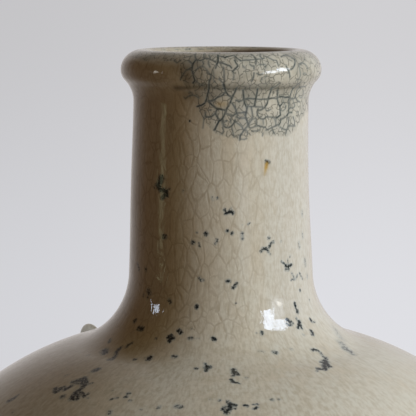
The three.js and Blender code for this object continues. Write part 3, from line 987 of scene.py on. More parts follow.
SHOULDER_MARKS = (
    (0.65, 0.75, 55, 388.5, 55.3, 392),
    (0.55, 0.9, 55.3, 392.3, 58.5, 391, 61, 388.7),
    (0.55, 0.75, 59.5, 388.5, 64, 387),
    (0.64, 0.85, 64.5, 389.8, 68, 388, 71.5, 385.8),
    (0.74, 0.8, 73, 382, 76, 380.8, 80, 380.3),
    (0.74, 0.85, 80, 379.8, 84, 378, 85.5, 381, 85.5, 385),
    (0.66, 0.85, 85, 385, 81.5, 388.5, 78, 391),
    (0.84, 0.90, 78, 391, 74, 395, 72, 398.5),
    (0.70, 0.85, 72, 399, 77, 398.8, 77.8, 395.5),
    (0.95, 0.62, 76, 382.8, 82, 382.2),
    (0.80, 0.85, 82.5, 380.3, 83.5, 385),
    (0.38, 0.6, 85.5, 384.5, 90, 384, 92.5, 383),
    (0.52, 0.8, 80.5, 392.3, 83, 394, 84.5, 396.5),
    (0.55, 0.7, 87.5, 394),
    (0.52, 0.4, 88, 398),
    (0.72, 0.8, 62.5, 397),
    (0.52, 0.6, 61, 396.5, 64.5, 395.3),
    (0.88, 0.95, 95, 370.5, 97.3, 369.5),
    (0.60, 0.6, 92.5, 371.5, 95, 370.8),
    (0.46, 0.3, 88.5, 373, 92, 372),
    (0.60, 0.3, 65.5, 375.8, 68, 374.5),
    (0.72, 0.35, 88.5, 355),
    (0.98, 1.0, 104.2, 350.5, 105, 352.7),
    (0.60, 0.6, 110, 339.7, 109.5, 342),
    (0.55, 0.7, 108.5, 359.5, 112, 359.5),
    (0.60, 0.8, 112, 359.5, 115.5, 355.5, 117, 351.5),
    (0.64, 0.95, 117, 351.5, 119.5, 348.7),
    (0.46, 0.5, 119.5, 348.7, 122, 346.5),
    (0.55, 0.65, 126.5, 347, 128, 345.3, 131.5, 343.3),
    (0.66, 0.6, 134.7, 359.5),
    (0.70, 1.0, 149.6, 357.5, 148.8, 359.2),
    (0.43, 0.4, 145, 358),
    (0.66, 0.65, 173.5, 356.5, 175.5, 356.5),
    (0.55, 0.85, 196.3, 368.5),
    (0.46, 0.6, 204.8, 363.3, 206, 365),
    (0.70, 1.0, 206.3, 367, 209, 367.2),
    (0.49, 0.9, 206.6, 368.5, 206, 371),
    (0.72, 0.75, 8.5, 401, 12, 399.5, 15, 397.5),
    (0.60, 0.5, 15, 397.5, 17.5, 395.3),
    (0.72, 0.35, 13, 412),
    (0.55, 0.8, 128.5, 393.5),
    (0.55, 0.85, 126, 397),
    (0.52, 0.6, 130, 400.7),
    (0.43, 0.3, 121, 393.5),
    (0.46, 0.5, 110.5, 399.5, 113, 398.8, 117.5, 397.8),
    (0.41, 0.35, 112.5, 390.5),
    (0.60, 0.6, 110, 411.5, 109.5, 413.5),
    (0.79, 0.6, 176.8, 406.3, 180.3, 406.8),
    (0.55, 0.5, 159.5, 406.5, 158, 408.5),
    (0.52, 0.35, 141, 409.5),
    (0.64, 1.0, 233.6, 369.5, 234, 374),
    (0.48, 0.8, 234, 374, 233, 376),
    (0.52, 0.95, 235.3, 371.5, 238, 374.7),
    (0.46, 1.0, 231.5, 379.5, 233, 382.3),
    (0.38, 1.0, 233, 382.3, 237, 382.7),
    (0.37, 0.6, 237, 382.7, 239.5, 383.7),
    (0.55, 0.45, 246.5, 377.7),
    (0.55, 0.6, 219.8, 400.5),
    (0.74, 1.0, 231, 405, 229.5, 408),
    (0.66, 1.0, 229.5, 408, 226.5, 412.7),
    (0.60, 1.0, 229, 403.3, 231.5, 404.8),
    (0.55, 0.95, 231.5, 404.7, 235, 405.3),
    (0.41, 0.8, 235.2, 408.6),
    (0.55, 0.9, 222.8, 409.3, 227, 410.3),
    (0.79, 0.5, 224.5, 407, 228, 406.5),
    (0.60, 0.5, 228, 401, 228.7, 403),
    (0.43, 0.9, 244.5, 405.3, 247.3, 405.6),
    (0.38, 0.4, 247.5, 407),
    (0.43, 0.6, 253.5, 404.5, 257.5, 404.3),
    (0.43, 0.8, 256, 407.8, 257.5, 407.3),
    (0.43, 0.7, 253.5, 408.8, 255.5, 408.6),
    (0.60, 0.3, 210, 399),
    (0.55, 0.65, 272.3, 399.8),
    (0.48, 0.5, 279.2, 399.3),
    (0.64, 0.7, 274, 352.3, 276.3, 352.7),
    (0.60, 0.35, 291.5, 349.3),
    (0.60, 0.3, 259.5, 351.3, 263.5, 351.5),
    (0.52, 0.85, 312.3, 350, 315, 349.7, 317.8, 350.8),
    (0.52, 0.55, 320, 352, 323, 356.5, 325.8, 359),
    (0.58, 0.8, 325.6, 357.5, 326, 361),
    (0.55, 0.9, 321.5, 362.2, 325.5, 363.5),
    (0.89, 1.0, 325.5, 361.5, 325, 366),
    (0.64, 1.0, 324.6, 366, 324.8, 369.5),
    (0.50, 0.95, 324.8, 369.3, 320, 369, 317.5, 368.3),
    (0.43, 0.5, 317.5, 368.5, 317, 371.5),
    (0.55, 0.95, 326.5, 363, 329.8, 366.5),
    (0.43, 0.7, 329.8, 366.5, 327, 368.5),
    (0.38, 0.4, 330, 367, 332, 367.3),
    (0.60, 0.25, 324, 348),
    (1.5, 0.42, 341.5, 343, 345, 347.5),
    (1.3, 0.62, 345.5, 349, 348.5, 350.5),
    (1.1, 0.42, 348.5, 350.5, 352.5, 354),
    (1.8, 0.30, 336, 330, 341, 338),
)
RUST_RUNS = (
    (0.50, 1.0, 266.6, 164.5, 266, 168),
    (0.36, 0.7, 266, 168, 265, 172),
    (0.28, 0.4, 265, 172, 264.4, 175),
    (0.70, 0.32, 219, 104, 224, 104),
)

# Smoked cracks read from the photograph: strength, then pixel x and y along the crack
ROLL_CRACKS = (
    (0.5, 174, 60, 177, 63, 181, 60),
    (0.4, 183, 58, 187, 57, 192, 56),
    (0.7, 195, 54, 195.5, 58, 197, 60, 201, 60.5, 205, 58.5, 209, 59, 213, 60.5, 216, 62),
    (0.6, 204, 54, 204, 58),
    (0.5, 209, 55, 210, 58),
    (1.0, 218, 55, 218, 58, 218, 62, 217, 64, 215.5, 68),
    (0.8, 218, 62, 222, 63, 226, 64.5, 230, 66, 231.5, 68),
    (0.9, 219, 56, 223, 56.5, 225, 58, 227, 56.5, 231, 56, 234, 55, 236, 57.5, 238, 59, 240.5, 60.5),
    (0.8, 234.5, 60, 236, 63, 238, 66, 236, 68, 234, 70, 232.5, 71.5),
    (0.4, 233, 72, 234, 76, 233, 80),
    (0.9, 196, 60, 193.5, 63, 192.5, 66, 192, 70, 193, 74, 194, 78, 195, 80.5, 193, 83),
    (0.6, 192, 67, 189, 69, 186, 70.5, 183.5, 74, 181, 78, 180.5, 80),
    (0.5, 189, 61, 191, 63, 193, 64),
    (0.4, 203, 61, 203.5, 63.5),
    (0.6, 208.5, 61, 208.5, 64, 210, 67),
    (0.7, 208, 72, 209, 73.5, 211, 75, 211, 78, 210, 80),
    (0.8, 209.5, 80, 209, 84, 209, 88),
    (0.6, 223, 67, 224, 71, 224, 76, 224.5, 81, 223, 85, 224, 88),
    (0.6, 219, 79, 221, 81, 223, 83),
    (0.5, 195, 80, 197, 82, 200, 84, 204, 85.5),
    (0.3, 213, 70, 214, 76, 213.5, 80, 215, 82),
    (0.35, 196, 70, 199, 67, 203, 66, 207, 70, 208.5, 73),
    (0.5, 240.5, 61, 245, 60, 250, 60, 255, 59.5, 258, 59, 262, 59, 264.5, 58),
    (0.7, 251, 54, 254, 56.5, 256, 59, 256, 64),
    (0.5, 260, 54, 260.5, 57, 263, 58.5),
    (0.6, 265, 56, 269, 58, 273, 60, 276.5, 60.5, 277.5, 63, 278.5, 66),
    (0.6, 250, 64.5, 252, 66, 254, 66, 254, 69),
    (0.7, 254, 73, 253.5, 77, 252, 81),
    (0.6, 257, 73.5, 260, 75, 262.5, 74),
    (0.4, 262, 78, 262, 80),
    (0.4, 259, 64.5, 263, 64.5, 265, 64.5),
    (0.4, 243, 66, 245, 68),
    (0.35, 266, 66, 265.5, 68),
    (0.3, 266, 76, 265, 78),
    (0.6, 281, 57, 284, 55, 288, 55.5, 291, 57, 294.5, 59),
    (0.9, 294.5, 59, 295, 62, 294.5, 65, 293, 68, 291, 69.5),
    (0.7, 286, 66, 287, 68, 288.5, 71, 289.5, 74, 290, 77),
    (0.5, 299.5, 64, 302, 63, 305, 64, 307, 66.5, 308, 69),
    (0.3, 304, 59, 306, 61),
    (0.4, 299.5, 64, 299, 67, 300, 71, 300.5, 75, 299, 79, 297, 80),
    (0.3, 303, 74, 305, 73, 306, 75),
    (0.6, 280, 83, 276, 86, 273, 88),
    (0.5, 301, 82, 298, 84, 294, 88),
    (0.5, 306, 86, 300, 87, 297, 90),
)
NECK_CRACKS = (
    (1.0, 224, 84, 224.5, 88, 226, 92, 228, 95, 231, 97, 232.5, 98),
    (1.0, 236.5, 88, 235, 92, 233.5, 95, 232, 98, 230.5, 102, 229, 105, 227, 108, 226, 111, 224.5, 114),
    (1.0, 224.5, 114, 223.5, 117, 221, 120, 219, 121, 217.5, 124, 216, 127, 214.8, 130),
    (0.8, 225, 92.5, 223, 95, 220, 96.5, 217, 97.5, 215, 99.5, 212, 101, 209, 100.5),
    (0.9, 209, 88, 208.5, 91, 207.5, 95, 206.5, 99, 205, 103, 202, 105, 199, 106, 197, 106.5),
    (1.0, 209, 100.5, 210, 103, 212.5, 105.5, 215.5, 107.5, 217, 109, 220, 109, 223, 110, 226, 110),
    (0.9, 217, 109, 216, 112, 215.5, 114, 217, 116.5, 219, 119.5),
    (0.8, 215.5, 113, 213, 115.5, 211, 117, 208.5, 117, 206, 116.5),
    (0.6, 209.5, 110, 211, 110),
    (0.35, 206, 112, 205, 115, 204, 118, 203.5, 122, 203, 128),
    (0.5, 186, 98, 190, 95.5, 193, 95, 196, 96, 199, 98),
    (0.5, 190, 92, 192, 93, 192.5, 95),
    (0.4, 184, 97, 185.5, 99),
    (0.95, 243, 90, 243.5, 95, 244, 100, 245, 104, 246.5, 107, 246.8, 110, 246, 113, 245.5, 116),
    (0.8, 245.5, 116, 246, 119, 247.5, 122, 248.5, 124),
    (0.95, 257.5, 89, 257, 93, 256, 98, 255, 102, 254.5, 106),
    (0.9, 271.5, 88, 270.5, 92, 269, 96, 268, 100, 267, 104, 265, 107, 262, 109.5, 259, 110.5),
    (0.9, 277.5, 90, 277.5, 95, 277.5, 100, 278.5, 104, 280, 107, 280, 111, 280.5, 115, 278, 117, 276, 118),
    (0.7, 244, 99, 250, 98.5, 255, 99, 260, 99.5, 264.5, 99, 268, 100),
    (0.8, 269, 98.5, 273, 98, 277, 98.5),
    (0.55, 246, 106, 250, 106.5, 254.5, 106.5, 259, 107, 263, 107),
    (0.6, 251, 107, 252, 111, 252.5, 115, 252.5, 119, 250, 122, 248.5, 125, 247.5, 127),
    (0.7, 258, 109, 257, 112, 257.5, 115, 259, 117.5, 261.5, 119, 264, 119, 266, 117, 268, 116.5),
    (0.4, 265, 107, 266, 110, 268, 111, 271, 109),
    (0.9, 280, 106, 281.5, 104.5, 282.5, 103),
    (0.9, 279, 97, 282, 96.5, 285, 97.5, 288, 97, 290, 98),
    (0.9, 293, 88, 291.5, 92, 290, 96, 289, 100, 289, 105, 288.5, 110, 288.5, 113, 286.5, 116),
    (0.6, 286.5, 116, 284, 117.5, 281, 119),
    (0.7, 297, 90, 296, 94, 295, 98, 292.5, 99, 290, 98),
    (0.6, 295, 97, 297.5, 101, 300, 102),
    (0.8, 289, 112.5, 292, 112.5),
    (0.5, 294, 103, 295, 106, 293, 108, 290, 108),
    (0.4, 293, 100, 294, 104),
    (0.8, 280.5, 119, 280.5, 122, 279, 125, 276.5, 125),
    (0.5, 276, 118, 276, 121, 275.5, 125),
    (0.7, 288, 118, 288.5, 122, 288, 126, 287, 129.5),
    (0.5, 288, 126, 291, 126, 295, 126),
    (0.6, 293, 117, 294.5, 121, 294.5, 126),
    (0.6, 280, 127, 283, 129, 286.5, 130, 286, 133),
    (0.6, 276, 126, 273, 127, 271, 128, 268, 129.5, 266, 130),
    (0.7, 271.5, 128, 273, 131, 274.5, 133.5),
    (0.5, 268, 117, 271, 117, 274, 118, 276, 118),
    (0.4, 274.5, 119, 275.5, 122),
    (0.5, 256, 120, 256.5, 124, 255.5, 126.5, 258, 126, 262, 126.5, 265, 127.5),
    (0.4, 263, 120, 263.5, 124),
    (0.5, 248, 127, 251, 128, 254, 127, 256, 125),
    (0.8, 247.5, 122, 247.5, 126, 245, 129, 243.5, 131, 241.5, 134, 240, 136, 239.8, 140),
    (0.5, 244.5, 129, 247, 131, 247.5, 134),
    (0.4, 240, 139, 244, 139.5, 247, 138.5),
    (0.75, 223, 118, 223, 122, 224, 126, 226, 127.5, 229, 127.5, 231.5, 126, 234, 123, 235, 120),
    (0.9, 225.5, 121, 226.5, 121),
    (0.5, 231, 114, 231.5, 117, 230.5, 120, 231, 123),
    (0.7, 232, 103, 234, 106, 235.5, 109, 236.5, 113, 233.5, 115.5, 231, 115, 228, 114, 225.5, 113.5),
    (0.7, 236, 113, 240, 113, 244, 112.5, 246, 112),
    (0.6, 236, 117, 240, 118.5, 244, 118, 247, 119),
    (0.4, 237, 114, 237.5, 117),
    (0.7, 236, 100, 238.5, 101.5, 241, 101, 243.5, 99.5),
    (0.5, 231.5, 126, 232, 129, 233, 133, 234, 137),
    (0.5, 235, 120, 237, 123, 240, 125, 242, 127, 243.5, 131),
    (0.4, 221, 120, 222, 123, 223, 127, 223.5, 131, 221.5, 134),
    (0.4, 252, 131, 257, 131, 259, 130),
    (0.4, 263, 133, 262.5, 136),
    (0.4, 250, 119, 253, 119, 256, 118.5),
    (0.35, 280.5, 110, 283, 111, 285, 109, 286, 106),
    (0.3, 283, 100, 284, 103, 285.5, 106),
    (0.3, 298, 112, 296.5, 113),
    (0.3, 299, 95, 300, 98, 302, 97),
    (0.35, 303, 90, 303.5, 94),
)
CRACK_HALF_WIDTH = 0.22 * MM

# Glaze stained by smoke in the crease under the roll: half width in millimetres, strength, then pixels
SMOKE_STAINS = (
    (0.60, 0.90, 209, 87.5, 214, 88, 224, 88.5, 235, 89, 245, 88.5, 256, 88, 262, 88.5, 270, 88),
    (0.55, 0.85, 277, 89, 284, 88, 289, 87.5, 300, 87),
    (0.55, 0.60, 176, 88, 186, 88, 196, 87, 204, 86),
    (1.00, 0.74, 206, 87, 222, 87.5, 245, 87.5, 270, 87.3, 298, 86),
    (2.00, 0.30, 298, 64, 308, 68, 311, 74),
    (1.50, 0.42, 292, 56, 302, 58),
    (1.10, 0.45, 211, 95, 216, 93, 222, 92),
    (1.00, 0.27, 229, 92, 231, 93),
    (1.00, 0.27, 239, 93, 240, 95),
    (1.20, 0.30, 247, 94, 254, 94),
    (1.10, 0.27, 260, 94, 266, 94),
    (1.00, 0.30, 281, 93, 288, 92),
    (1.20, 0.27, 284, 98, 288, 99),
    (1.00, 0.22, 238, 115, 243, 115),
    (1.20, 0.38, 188, 92, 196, 93),
    (1.30, 0.24, 190, 66, 205, 62),
    (1.20, 0.24, 184, 76, 186, 82),
)

# Glaze scorched brown and painted shade at the left edge of the smoke, where the light grazes: half width in
# millimetres, strength, then pixels
SCORCH_SHADES = (
    (1.60, 0.50, 178, 66, 186, 72, 190, 79),
    (1.30, 0.42, 196, 62, 200, 70, 200, 78),
    (1.20, 0.32, 206, 72, 213, 79),
    (0.80, 0.55, 176, 88, 186, 88, 196, 88, 206, 88),
    (2.00, 0.45, 190, 96, 198, 100, 204, 108),
    (1.70, 0.32, 210, 98, 214, 106),
)

# Lower edge of the smoked crackle: pixels x and y where it shows, then bearings in degrees and heights in
# millimetres where it is hidden; its fade, the fade into the mouth, and the bearings where the front ends
SMOKE_EDGE_SEEN = ((181, 60), (190, 78), (190, 97), (199, 108), (204, 119), (215, 130), (228, 136))
SMOKE_EDGE_SEEN += ((242, 139), (257, 130), (272, 133), (288, 133), (296, 127), (302, 114))
SMOKE_EDGE_HIDDEN = ((20, 236), (55, 232), (95, 235), (130, 240), (160, 243), (185, 249))
SMOKE_FADE = (-2.2 * MM, 1.4 * MM)
MOUTH_FADE = 2.0 * MM
SEEN_LIMIT = (66, 80)

# How a stroke fades from its middle, how far it counts in half widths, and where the mesh is cut finer for it
STROKE_FADE = 0.7
STROKE_REACH = 4
CRACK_FAINTEST = 0.3
FINER_MARGIN = 0.3 * MM
FINER_FROM = 0.15
FINER_CUTS = 2

# Brown wash and painted shade inside the mouth: millimetres that its edge dips, the bearing where it is
# highest, at the shaded far right, and its fade
WASH_DIP = 1.6
WASH_SHADE_BEARING = math.radians(35)
WASH_FADE = 1.4 * MM

# Seeded marks for the sides that the photograph doesn't show; a big one is a run of strokes
HIDDEN_MARK_COUNT = 130
HIDDEN_MARK_SEED = 11
HIDDEN_LOW_SHARE = 0.45
HIDDEN_LOW = (25 * MM, 118 * MM)
HIDDEN_HIGH = (118 * MM, 226 * MM)
HIDDEN_BACK = (0.02 * math.pi, 0.98 * math.pi)
HIDDEN_BIG_SHARE = 0.18
HIDDEN_BIG = SimpleNamespace(strokes=4, run=2.2 * MM, half=(0.6, 1.0))
HIDDEN_SMALL = SimpleNamespace(strokes=1, run=0.5 * MM, half=(0.35, 0.85))
HIDDEN_STRENGTH = (0.6, 1.0)
HIDDEN_OVERLAP = 0.6
BEYOND_SKIN = 0.4


def camera_turn():
    """Rotation of the photograph's camera."""
    return Euler((math.pi / 2 - CAMERA_PITCH, 0.0, CAMERA_YAW))


def camera_place():
    """Place of the photograph's camera."""
    return Vector((0.0, -CAMERA_DISTANCE, RIM_HIGH.z + CAMERA_OVER_CREST))


def skin_point(pieces, eye, ray):
    """The nearest point of the vessel's skin along a ray, or none."""
    hits = [piece.ray_cast(eye, ray) for piece in pieces]
    points = [hit[1] for hit in hits if hit[0]]
    return min(points, key=lambda point: (point - eye).length) if points else None


def photo_point(pieces, x, y):
    """The point of the vessel's skin behind a pixel of the photograph."""
    half = PHOTO_WIDTH / 2
    ray = Vector(((x - half) / FOCAL_PIXELS, (half - y) / FOCAL_PIXELS, -1.0))
    ray.rotate(camera_turn())
    ray.normalize()
    point = skin_point(pieces, camera_place(), ray)
    if point is None:
        raise RuntimeError("no skin behind pixel %d, %d" % (x, y))
    return point


def stroke_field(spots, start, end, half_width):
    """How strongly a soft stroke between two points marks each spot."""
    start = np.array(start)
    run = np.array(end) - start
    span = max(run @ run, 1e-12)
    share = np.clip((spots - start) @ run / span, 0.0, 1.0)
    away = np.linalg.norm(spots - start - share[:, None] * run, axis=1)
    return np.exp(-STROKE_FADE * (away / half_width) ** 2)


def hidden_strokes(pieces):
    """Seeded strokes for the sides that the photograph doesn't show."""
    dice = random.Random(HIDDEN_MARK_SEED)
    strokes = []
    for _ in range(HIDDEN_MARK_COUNT):
        low = dice.random() < HIDDEN_LOW_SHARE
        bearing = dice.uniform(0.0, 2 * math.pi) if low else dice.uniform(*HIDDEN_BACK)
        height = dice.uniform(*HIDDEN_LOW) if low else dice.uniform(*HIDDEN_HIGH)
        out = Vector((math.cos(bearing), math.sin(bearing), 0.0))
        at = skin_point(pieces, out * BEYOND_SKIN + Vector((0.0, 0.0, height)), -out)
        if at is None:
            continue
        mark = HIDDEN_BIG if dice.random() < HIDDEN_BIG_SHARE else HIDDEN_SMALL
        for _ in range(mark.strokes):
            run = Vector((dice.gauss(0, 1), dice.gauss(0, 1), dice.gauss(0, 1))) * mark.run
            half = dice.uniform(*mark.half) * MM
            strokes.append((at, at + run, half, dice.uniform(*HIDDEN_STRENGTH)))
            at = at + run * HIDDEN_OVERLAP
    return strokes


def smoke_edge(pieces):
    """Azimuths round the vessel and the height that the smoked crackle reaches down to there."""
    rows = []
    for x, y in SMOKE_EDGE_SEEN:
        point = photo_point(pieces, x, y)
        rows.append((math.degrees(math.atan2(point.y, point.x)), point.z))
    rows += [(bearing, height * MM) for bearing, height in SMOKE_EDGE_HIDDEN]
    rows.sort()
    return np.array(rows).T


def along(skins, pixels):
    """The strokes between neighbouring pixels of a traced line, as pairs of points on the skin."""
    points = [photo_point(skins, x, y) for x, y in zip(pixels[::2], pixels[1::2])]
    return list(zip(points, points[1:] or points))


def traced_strokes(skins):
    """Strokes of each painted field that the photograph shows: both ends, half width and strength."""
    cracks = []
    fields = {}
    marks = NECK_MARKS + COLLAR_MARKS + SHOULDER_MARKS
    for strength, *pixels in ROLL_CRACKS + NECK_CRACKS:
        level = CRACK_FAINTEST + (1 - CRACK_FAINTEST) * strength
        cracks += [(start, end, CRACK_HALF_WIDTH, level) for start, end in along(skins, pixels)]
    tables = {"carbon": marks, "rust": RUST_RUNS, "stain": SMOKE_STAINS, "scorch_shade": SCORCH_SHADES}
    for name, table in tables.items():
        fields[name] = []
        for half, strength, *pixels in table:
            fields[name] += [(start, end, half * MM, strength) for start, end in along(skins, pixels)]
    fields["cracks"] = cracks
    return fields


def stroked(spots, strokes):
    """The strongest stroke at each spot."""
    order = np.argsort(spots[:, 2])
    levels = spots[order, 2]
    field = np.zeros(len(spots))
    for start, end, half, strength in strokes:
        reach = STROKE_REACH * half
        low = np.searchsorted(levels, min(start.z, end.z) - reach)
        high = np.searchsorted(levels, max(start.z, end.z) + reach)
        near = order[low:high]
        field[near] = np.maximum(field[near], stroke_field(spots[near], start, end, half) * strength)
    return field


def refine(piece, strokes, rising):
    """Cuts the edges near the strokes in three, so that thin strokes show; rising keeps to upright edges."""
    spots = places(piece)
    ends = np.zeros(len(piece.data.edges) * 2, np.int32)
    piece.data.edges.foreach_get("vertices", ends)
    ends = ends.reshape(-1, 2)
    wider = [(start, end, half + FINER_MARGIN, 1.0) for start, end, half, _ in strokes]
    chosen = stroked(spots[ends].mean(axis=1), wider) > FINER_FROM
    if rising:
        run = np.abs(spots[ends[:, 1]] - spots[ends[:, 0]])
        chosen &= run[:, 2] > np.hypot(run[:, 0], run[:, 1])
    bpy.ops.object.select_all(action="DESELECT")
    piece.select_set(True)
    bpy.context.view_layer.objects.active = piece
    bpy.ops.object.mode_set(mode="EDIT")
    bpy.ops.mesh.select_mode(type="EDGE")
    bpy.ops.mesh.select_all(action="DESELECT")
    bpy.ops.object.mode_set(mode="OBJECT")
    piece.data.edges.foreach_set("select", chosen)
    bpy.ops.object.mode_set(mode="EDIT")
    bpy.ops.mesh.subdivide(number_cuts=FINER_CUTS)
    bpy.ops.mesh.select_mode(type="VERT")
    bpy.ops.object.mode_set(mode="OBJECT")


def paint_firing(pieces, sizes):
    """Paints smoke, cracks, carbon and rust on the glazed pieces."""
    skins = [pieces[name] for name in ("rim", "neck", "shoulder", "lower_body")]
    d = derive(sizes)
    fields = traced_strokes(skins)
    hidden = hidden_strokes(skins)
    bearings, heights = smoke_edge(skins)
    refine(pieces["shoulder"], fields["carbon"], False)
    refine(pieces["neck"], fields["carbon"], True)
    fields["carbon"] += hidden
    for piece in pieces.values():
        spots = places(piece)
        for name, strokes in fields.items():
            paint(piece, name, stroked(spots, strokes))
        bearing = np.degrees(np.arctan2(spots[:, 1], spots[:, 0]))
        radius = np.hypot(spots[:, 0], spots[:, 1])
        edge = np.interp(bearing, bearings, heights, period=360.0)
        inner = step_up(0.0, -MOUTH_FADE, radius - d.crest_r)
        paint(piece, "smoke", step_up(*SMOKE_FADE, spots[:, 2] - edge) * (1.0 - 0.9 * inner))
        behind = step_up(*SEEN_LIMIT, np.abs((bearing + 270) % 360 - 180))
        outside = step_up(d.crest_r - 1 * MM, d.crest_r + 2 * MM, radius)
        paint(piece, "unseen", behind * outside)


def paint_inside_wash_and_shade(piece, profile, numbers, sizes):
    """Paints where the brown wash and painted shade inside the vessel begin, highest at the shaded far right.
    """
    d = derive(sizes)
    skins = np.array([spot.skin for spot in profile])[numbers]
    spots = places(piece)
    bearing = np.arctan2(spots[:, 1], spots[:, 0])
    edge = (WASH_DIP * np.cos(bearing - WASH_SHADE_BEARING) - WASH_DIP) * MM
    deep = step_up(0.0, -WASH_FADE, spots[:, 2] - d.crest_z - edge)
    inward = np.hypot(spots[:, 0], spots[:, 1]) < d.crest_r
    paint(piece, "inside", np.where((skins == INSIDE) | inward, deep, 0.0))


def turned_section(name, profile):
    """A turned, unrolled section in the glaze."""
    piece = turn("bottle_" + name, profile, TURN_STEPS[name])
    numbers = nearest_spots(piece, profile)
    unroll(piece, profile, numbers, BAKE_STRIPS[name])
    paint_inside_wash_and_shade(piece, profile, numbers, bpy.context.scene.bottle_sizes)
    dress(piece, name, glaze_material())
    return piece


class BOTTLE_OT_foot_ring(bpy.types.Operator):
    """Turn the bare clay foot ring"""

    bl_idname = "bottle.foot_ring"
    bl_label = "Foot ring"

    def execute(self, context):
        sizes = context.scene.bottle_sizes
        profile = foot_profile(sizes)
        piece = turn("bottle_foot_ring", profile, TURN_STEPS["foot_ring"])
        numbers = nearest_spots(piece, profile)
        unroll(piece, profile, numbers, BAKE_STRIPS["foot_ring"])
        heights = places(piece)[:, 2]
        paint(piece, "rubbed", 1.0 - step_up(0.0, 2.0 * MM, heights))
        dress(piece, "foot_ring", clay_material())
        return {"FINISHED"}


class BOTTLE_OT_lower_body(bpy.types.Operator):
    """Turn the lower half of the body with its floor"""

    bl_idname = "bottle.lower_body"
    bl_label = "Lower body"

    def execute(self, context):
        turned_section("lower_body", lower_profile(context.scene.bottle_sizes))
        return {"FINISHED"}


class BOTTLE_OT_shoulder(bpy.types.Operator):
    """Turn the domed shoulder with the fillet that carries the neck"""

    bl_idname = "bottle.shoulder"
    bl_label = "Shoulder"

    def execute(self, context):
        turned_section("shoulder", shoulder_profile(context.scene.bottle_sizes))
        return {"FINISHED"}


class BOTTLE_OT_neck(bpy.types.Operator):
    """Turn the neck and give it the slight bow of a thrown piece"""

    bl_idname = "bottle.neck"
    bl_label = "Neck"

    def execute(self, context):
        sizes = context.scene.bottle_sizes
        piece = turned_section("neck", neck_profile(sizes))
        middle = (NECK_LOW.z + NECK_HIGH.z) / 2
        reach = sizes.neck_length / 2
        near = np.abs(places(piece)[:, 2] - middle) < COARSE
        select_vertices(piece, near)
        bpy.ops.transform.translate(
            value=(-sizes.neck_bow, 0.0, 0.0),
            use_proportional_edit=True,
            proportional_edit_falloff="SMOOTH",
            proportional_size=reach * BOW_REACH,
        )
        bpy.ops.object.mode_set(mode="OBJECT")
        return {"FINISHED"}


class BOTTLE_OT_rim(bpy.types.Operator):
    """Turn the rolled rim with its lip"""

    bl_idname = "bottle.rim"
    bl_label = "Rolled rim"

    def execute(self, context):
        turned_section("rim", rim_profile(context.scene.bottle_sizes))
        return {"FINISHED"}


class BOTTLE_OT_shoulder_lug(bpy.types.Operator):
    """Bend a coil of clay into the cord lug on the back of the shoulder"""

    bl_idname = "bottle.shoulder_lug"
    bl_label = "Cord lug"

    def execute(self, context):
        sizes = context.scene.bottle_sizes
        d = derive(sizes)
        coil = sizes.lug_coil / 2
        reach = sizes.lug_span / 2 - coil
        rise = sizes.lug_rise - coil
        bpy.ops.object.select_all(action="DESELECT")
        end = (-reach, 0.0, 0.0)
        bpy.ops.mesh.primitive_circle_add(vertices=LUG_SIDES, radius=coil, fill_type="NGON", location=end)
        piece = start_piece("bottle_shoulder_lug")
        bpy.ops.object.transform_apply(location=True, rotation=True, scale=True)
        bpy.ops.object.mode_set(mode="EDIT")
        bpy.ops.mesh.select_all(action="SELECT")
        bpy.ops.mesh.spin(steps=LUG_STEPS, angle=-math.pi, center=(0, 0, 0), axis=(0, 1, 0))
        bpy.ops.mesh.select_all(action="SELECT")
        bpy.ops.mesh.remove_doubles(threshold=MERGE)
        bpy.ops.transform.resize(value=(1.0, 1.0, rise / reach), center_override=(0, 0, 0))
        bpy.ops.object.mode_set(mode="OBJECT")
        sunk = sizes.lug_root - sum(depth for depth, _ in LUG_FLARE)
        for side in (-1, 1):
            for depth, spread in LUG_FLARE + ((sunk, 1.0),):
                spots = places(piece)
                lowest = spots[spots[:, 0] * side > 0][:, 2].min()
                select_vertices(piece, (spots[:, 0] * side > 0) & (spots[:, 2] < lowest + MERGE))
                bpy.ops.mesh.extrude_region_move(TRANSFORM_OT_translate={"value": (0.0, 0.0, -depth)})
                centre = (side * reach, 0.0, lowest - depth)
                bpy.ops.transform.resize(value=(spread, spread, 1.0), center_override=centre)
                bpy.ops.object.mode_set(mode="OBJECT")
        bpy.ops.object.mode_set(mode="EDIT")
        bpy.ops.mesh.select_all(action="SELECT")
        bpy.ops.mesh.normals_make_consistent(inside=False)
        bpy.ops.object.mode_set(mode="OBJECT")
        seat_r = d.shoulder_r + sizes.shoulder_radius * math.sin(sizes.lug_polar)
        seat_z = d.shoulder_z + sizes.shoulder_radius * math.cos(sizes.lug_polar)
        seat = Matrix.Translation((seat_r, 0.0, seat_z)) @ Matrix.Rotation(sizes.lug_polar, 4, "Y")
        piece.matrix_world = Matrix.Rotation(sizes.lug_azimuth, 4, "Z") @ seat
        bpy.ops.object.transform_apply(location=True, rotation=True, scale=True)
        bpy.ops.object.shade_smooth_by_angle(angle=SMOOTH_ANGLE)
        dress(piece, "shoulder_lug", glaze_material())
        return {"FINISHED"}


class BOTTLE_OT_firing(bpy.types.Operator):
    """Paint the marks of the firing on the glazed sections"""

    bl_idname = "bottle.firing"
    bl_label = "Firing marks"

    def execute(self, context):
        names = ("rim", "neck", "shoulder", "lower_body", "shoulder_lug")
        pieces = {name: bpy.data.objects["bottle_" + name] for name in names}
        paint_firing(pieces, context.scene.bottle_sizes)
        return {"FINISHED"}


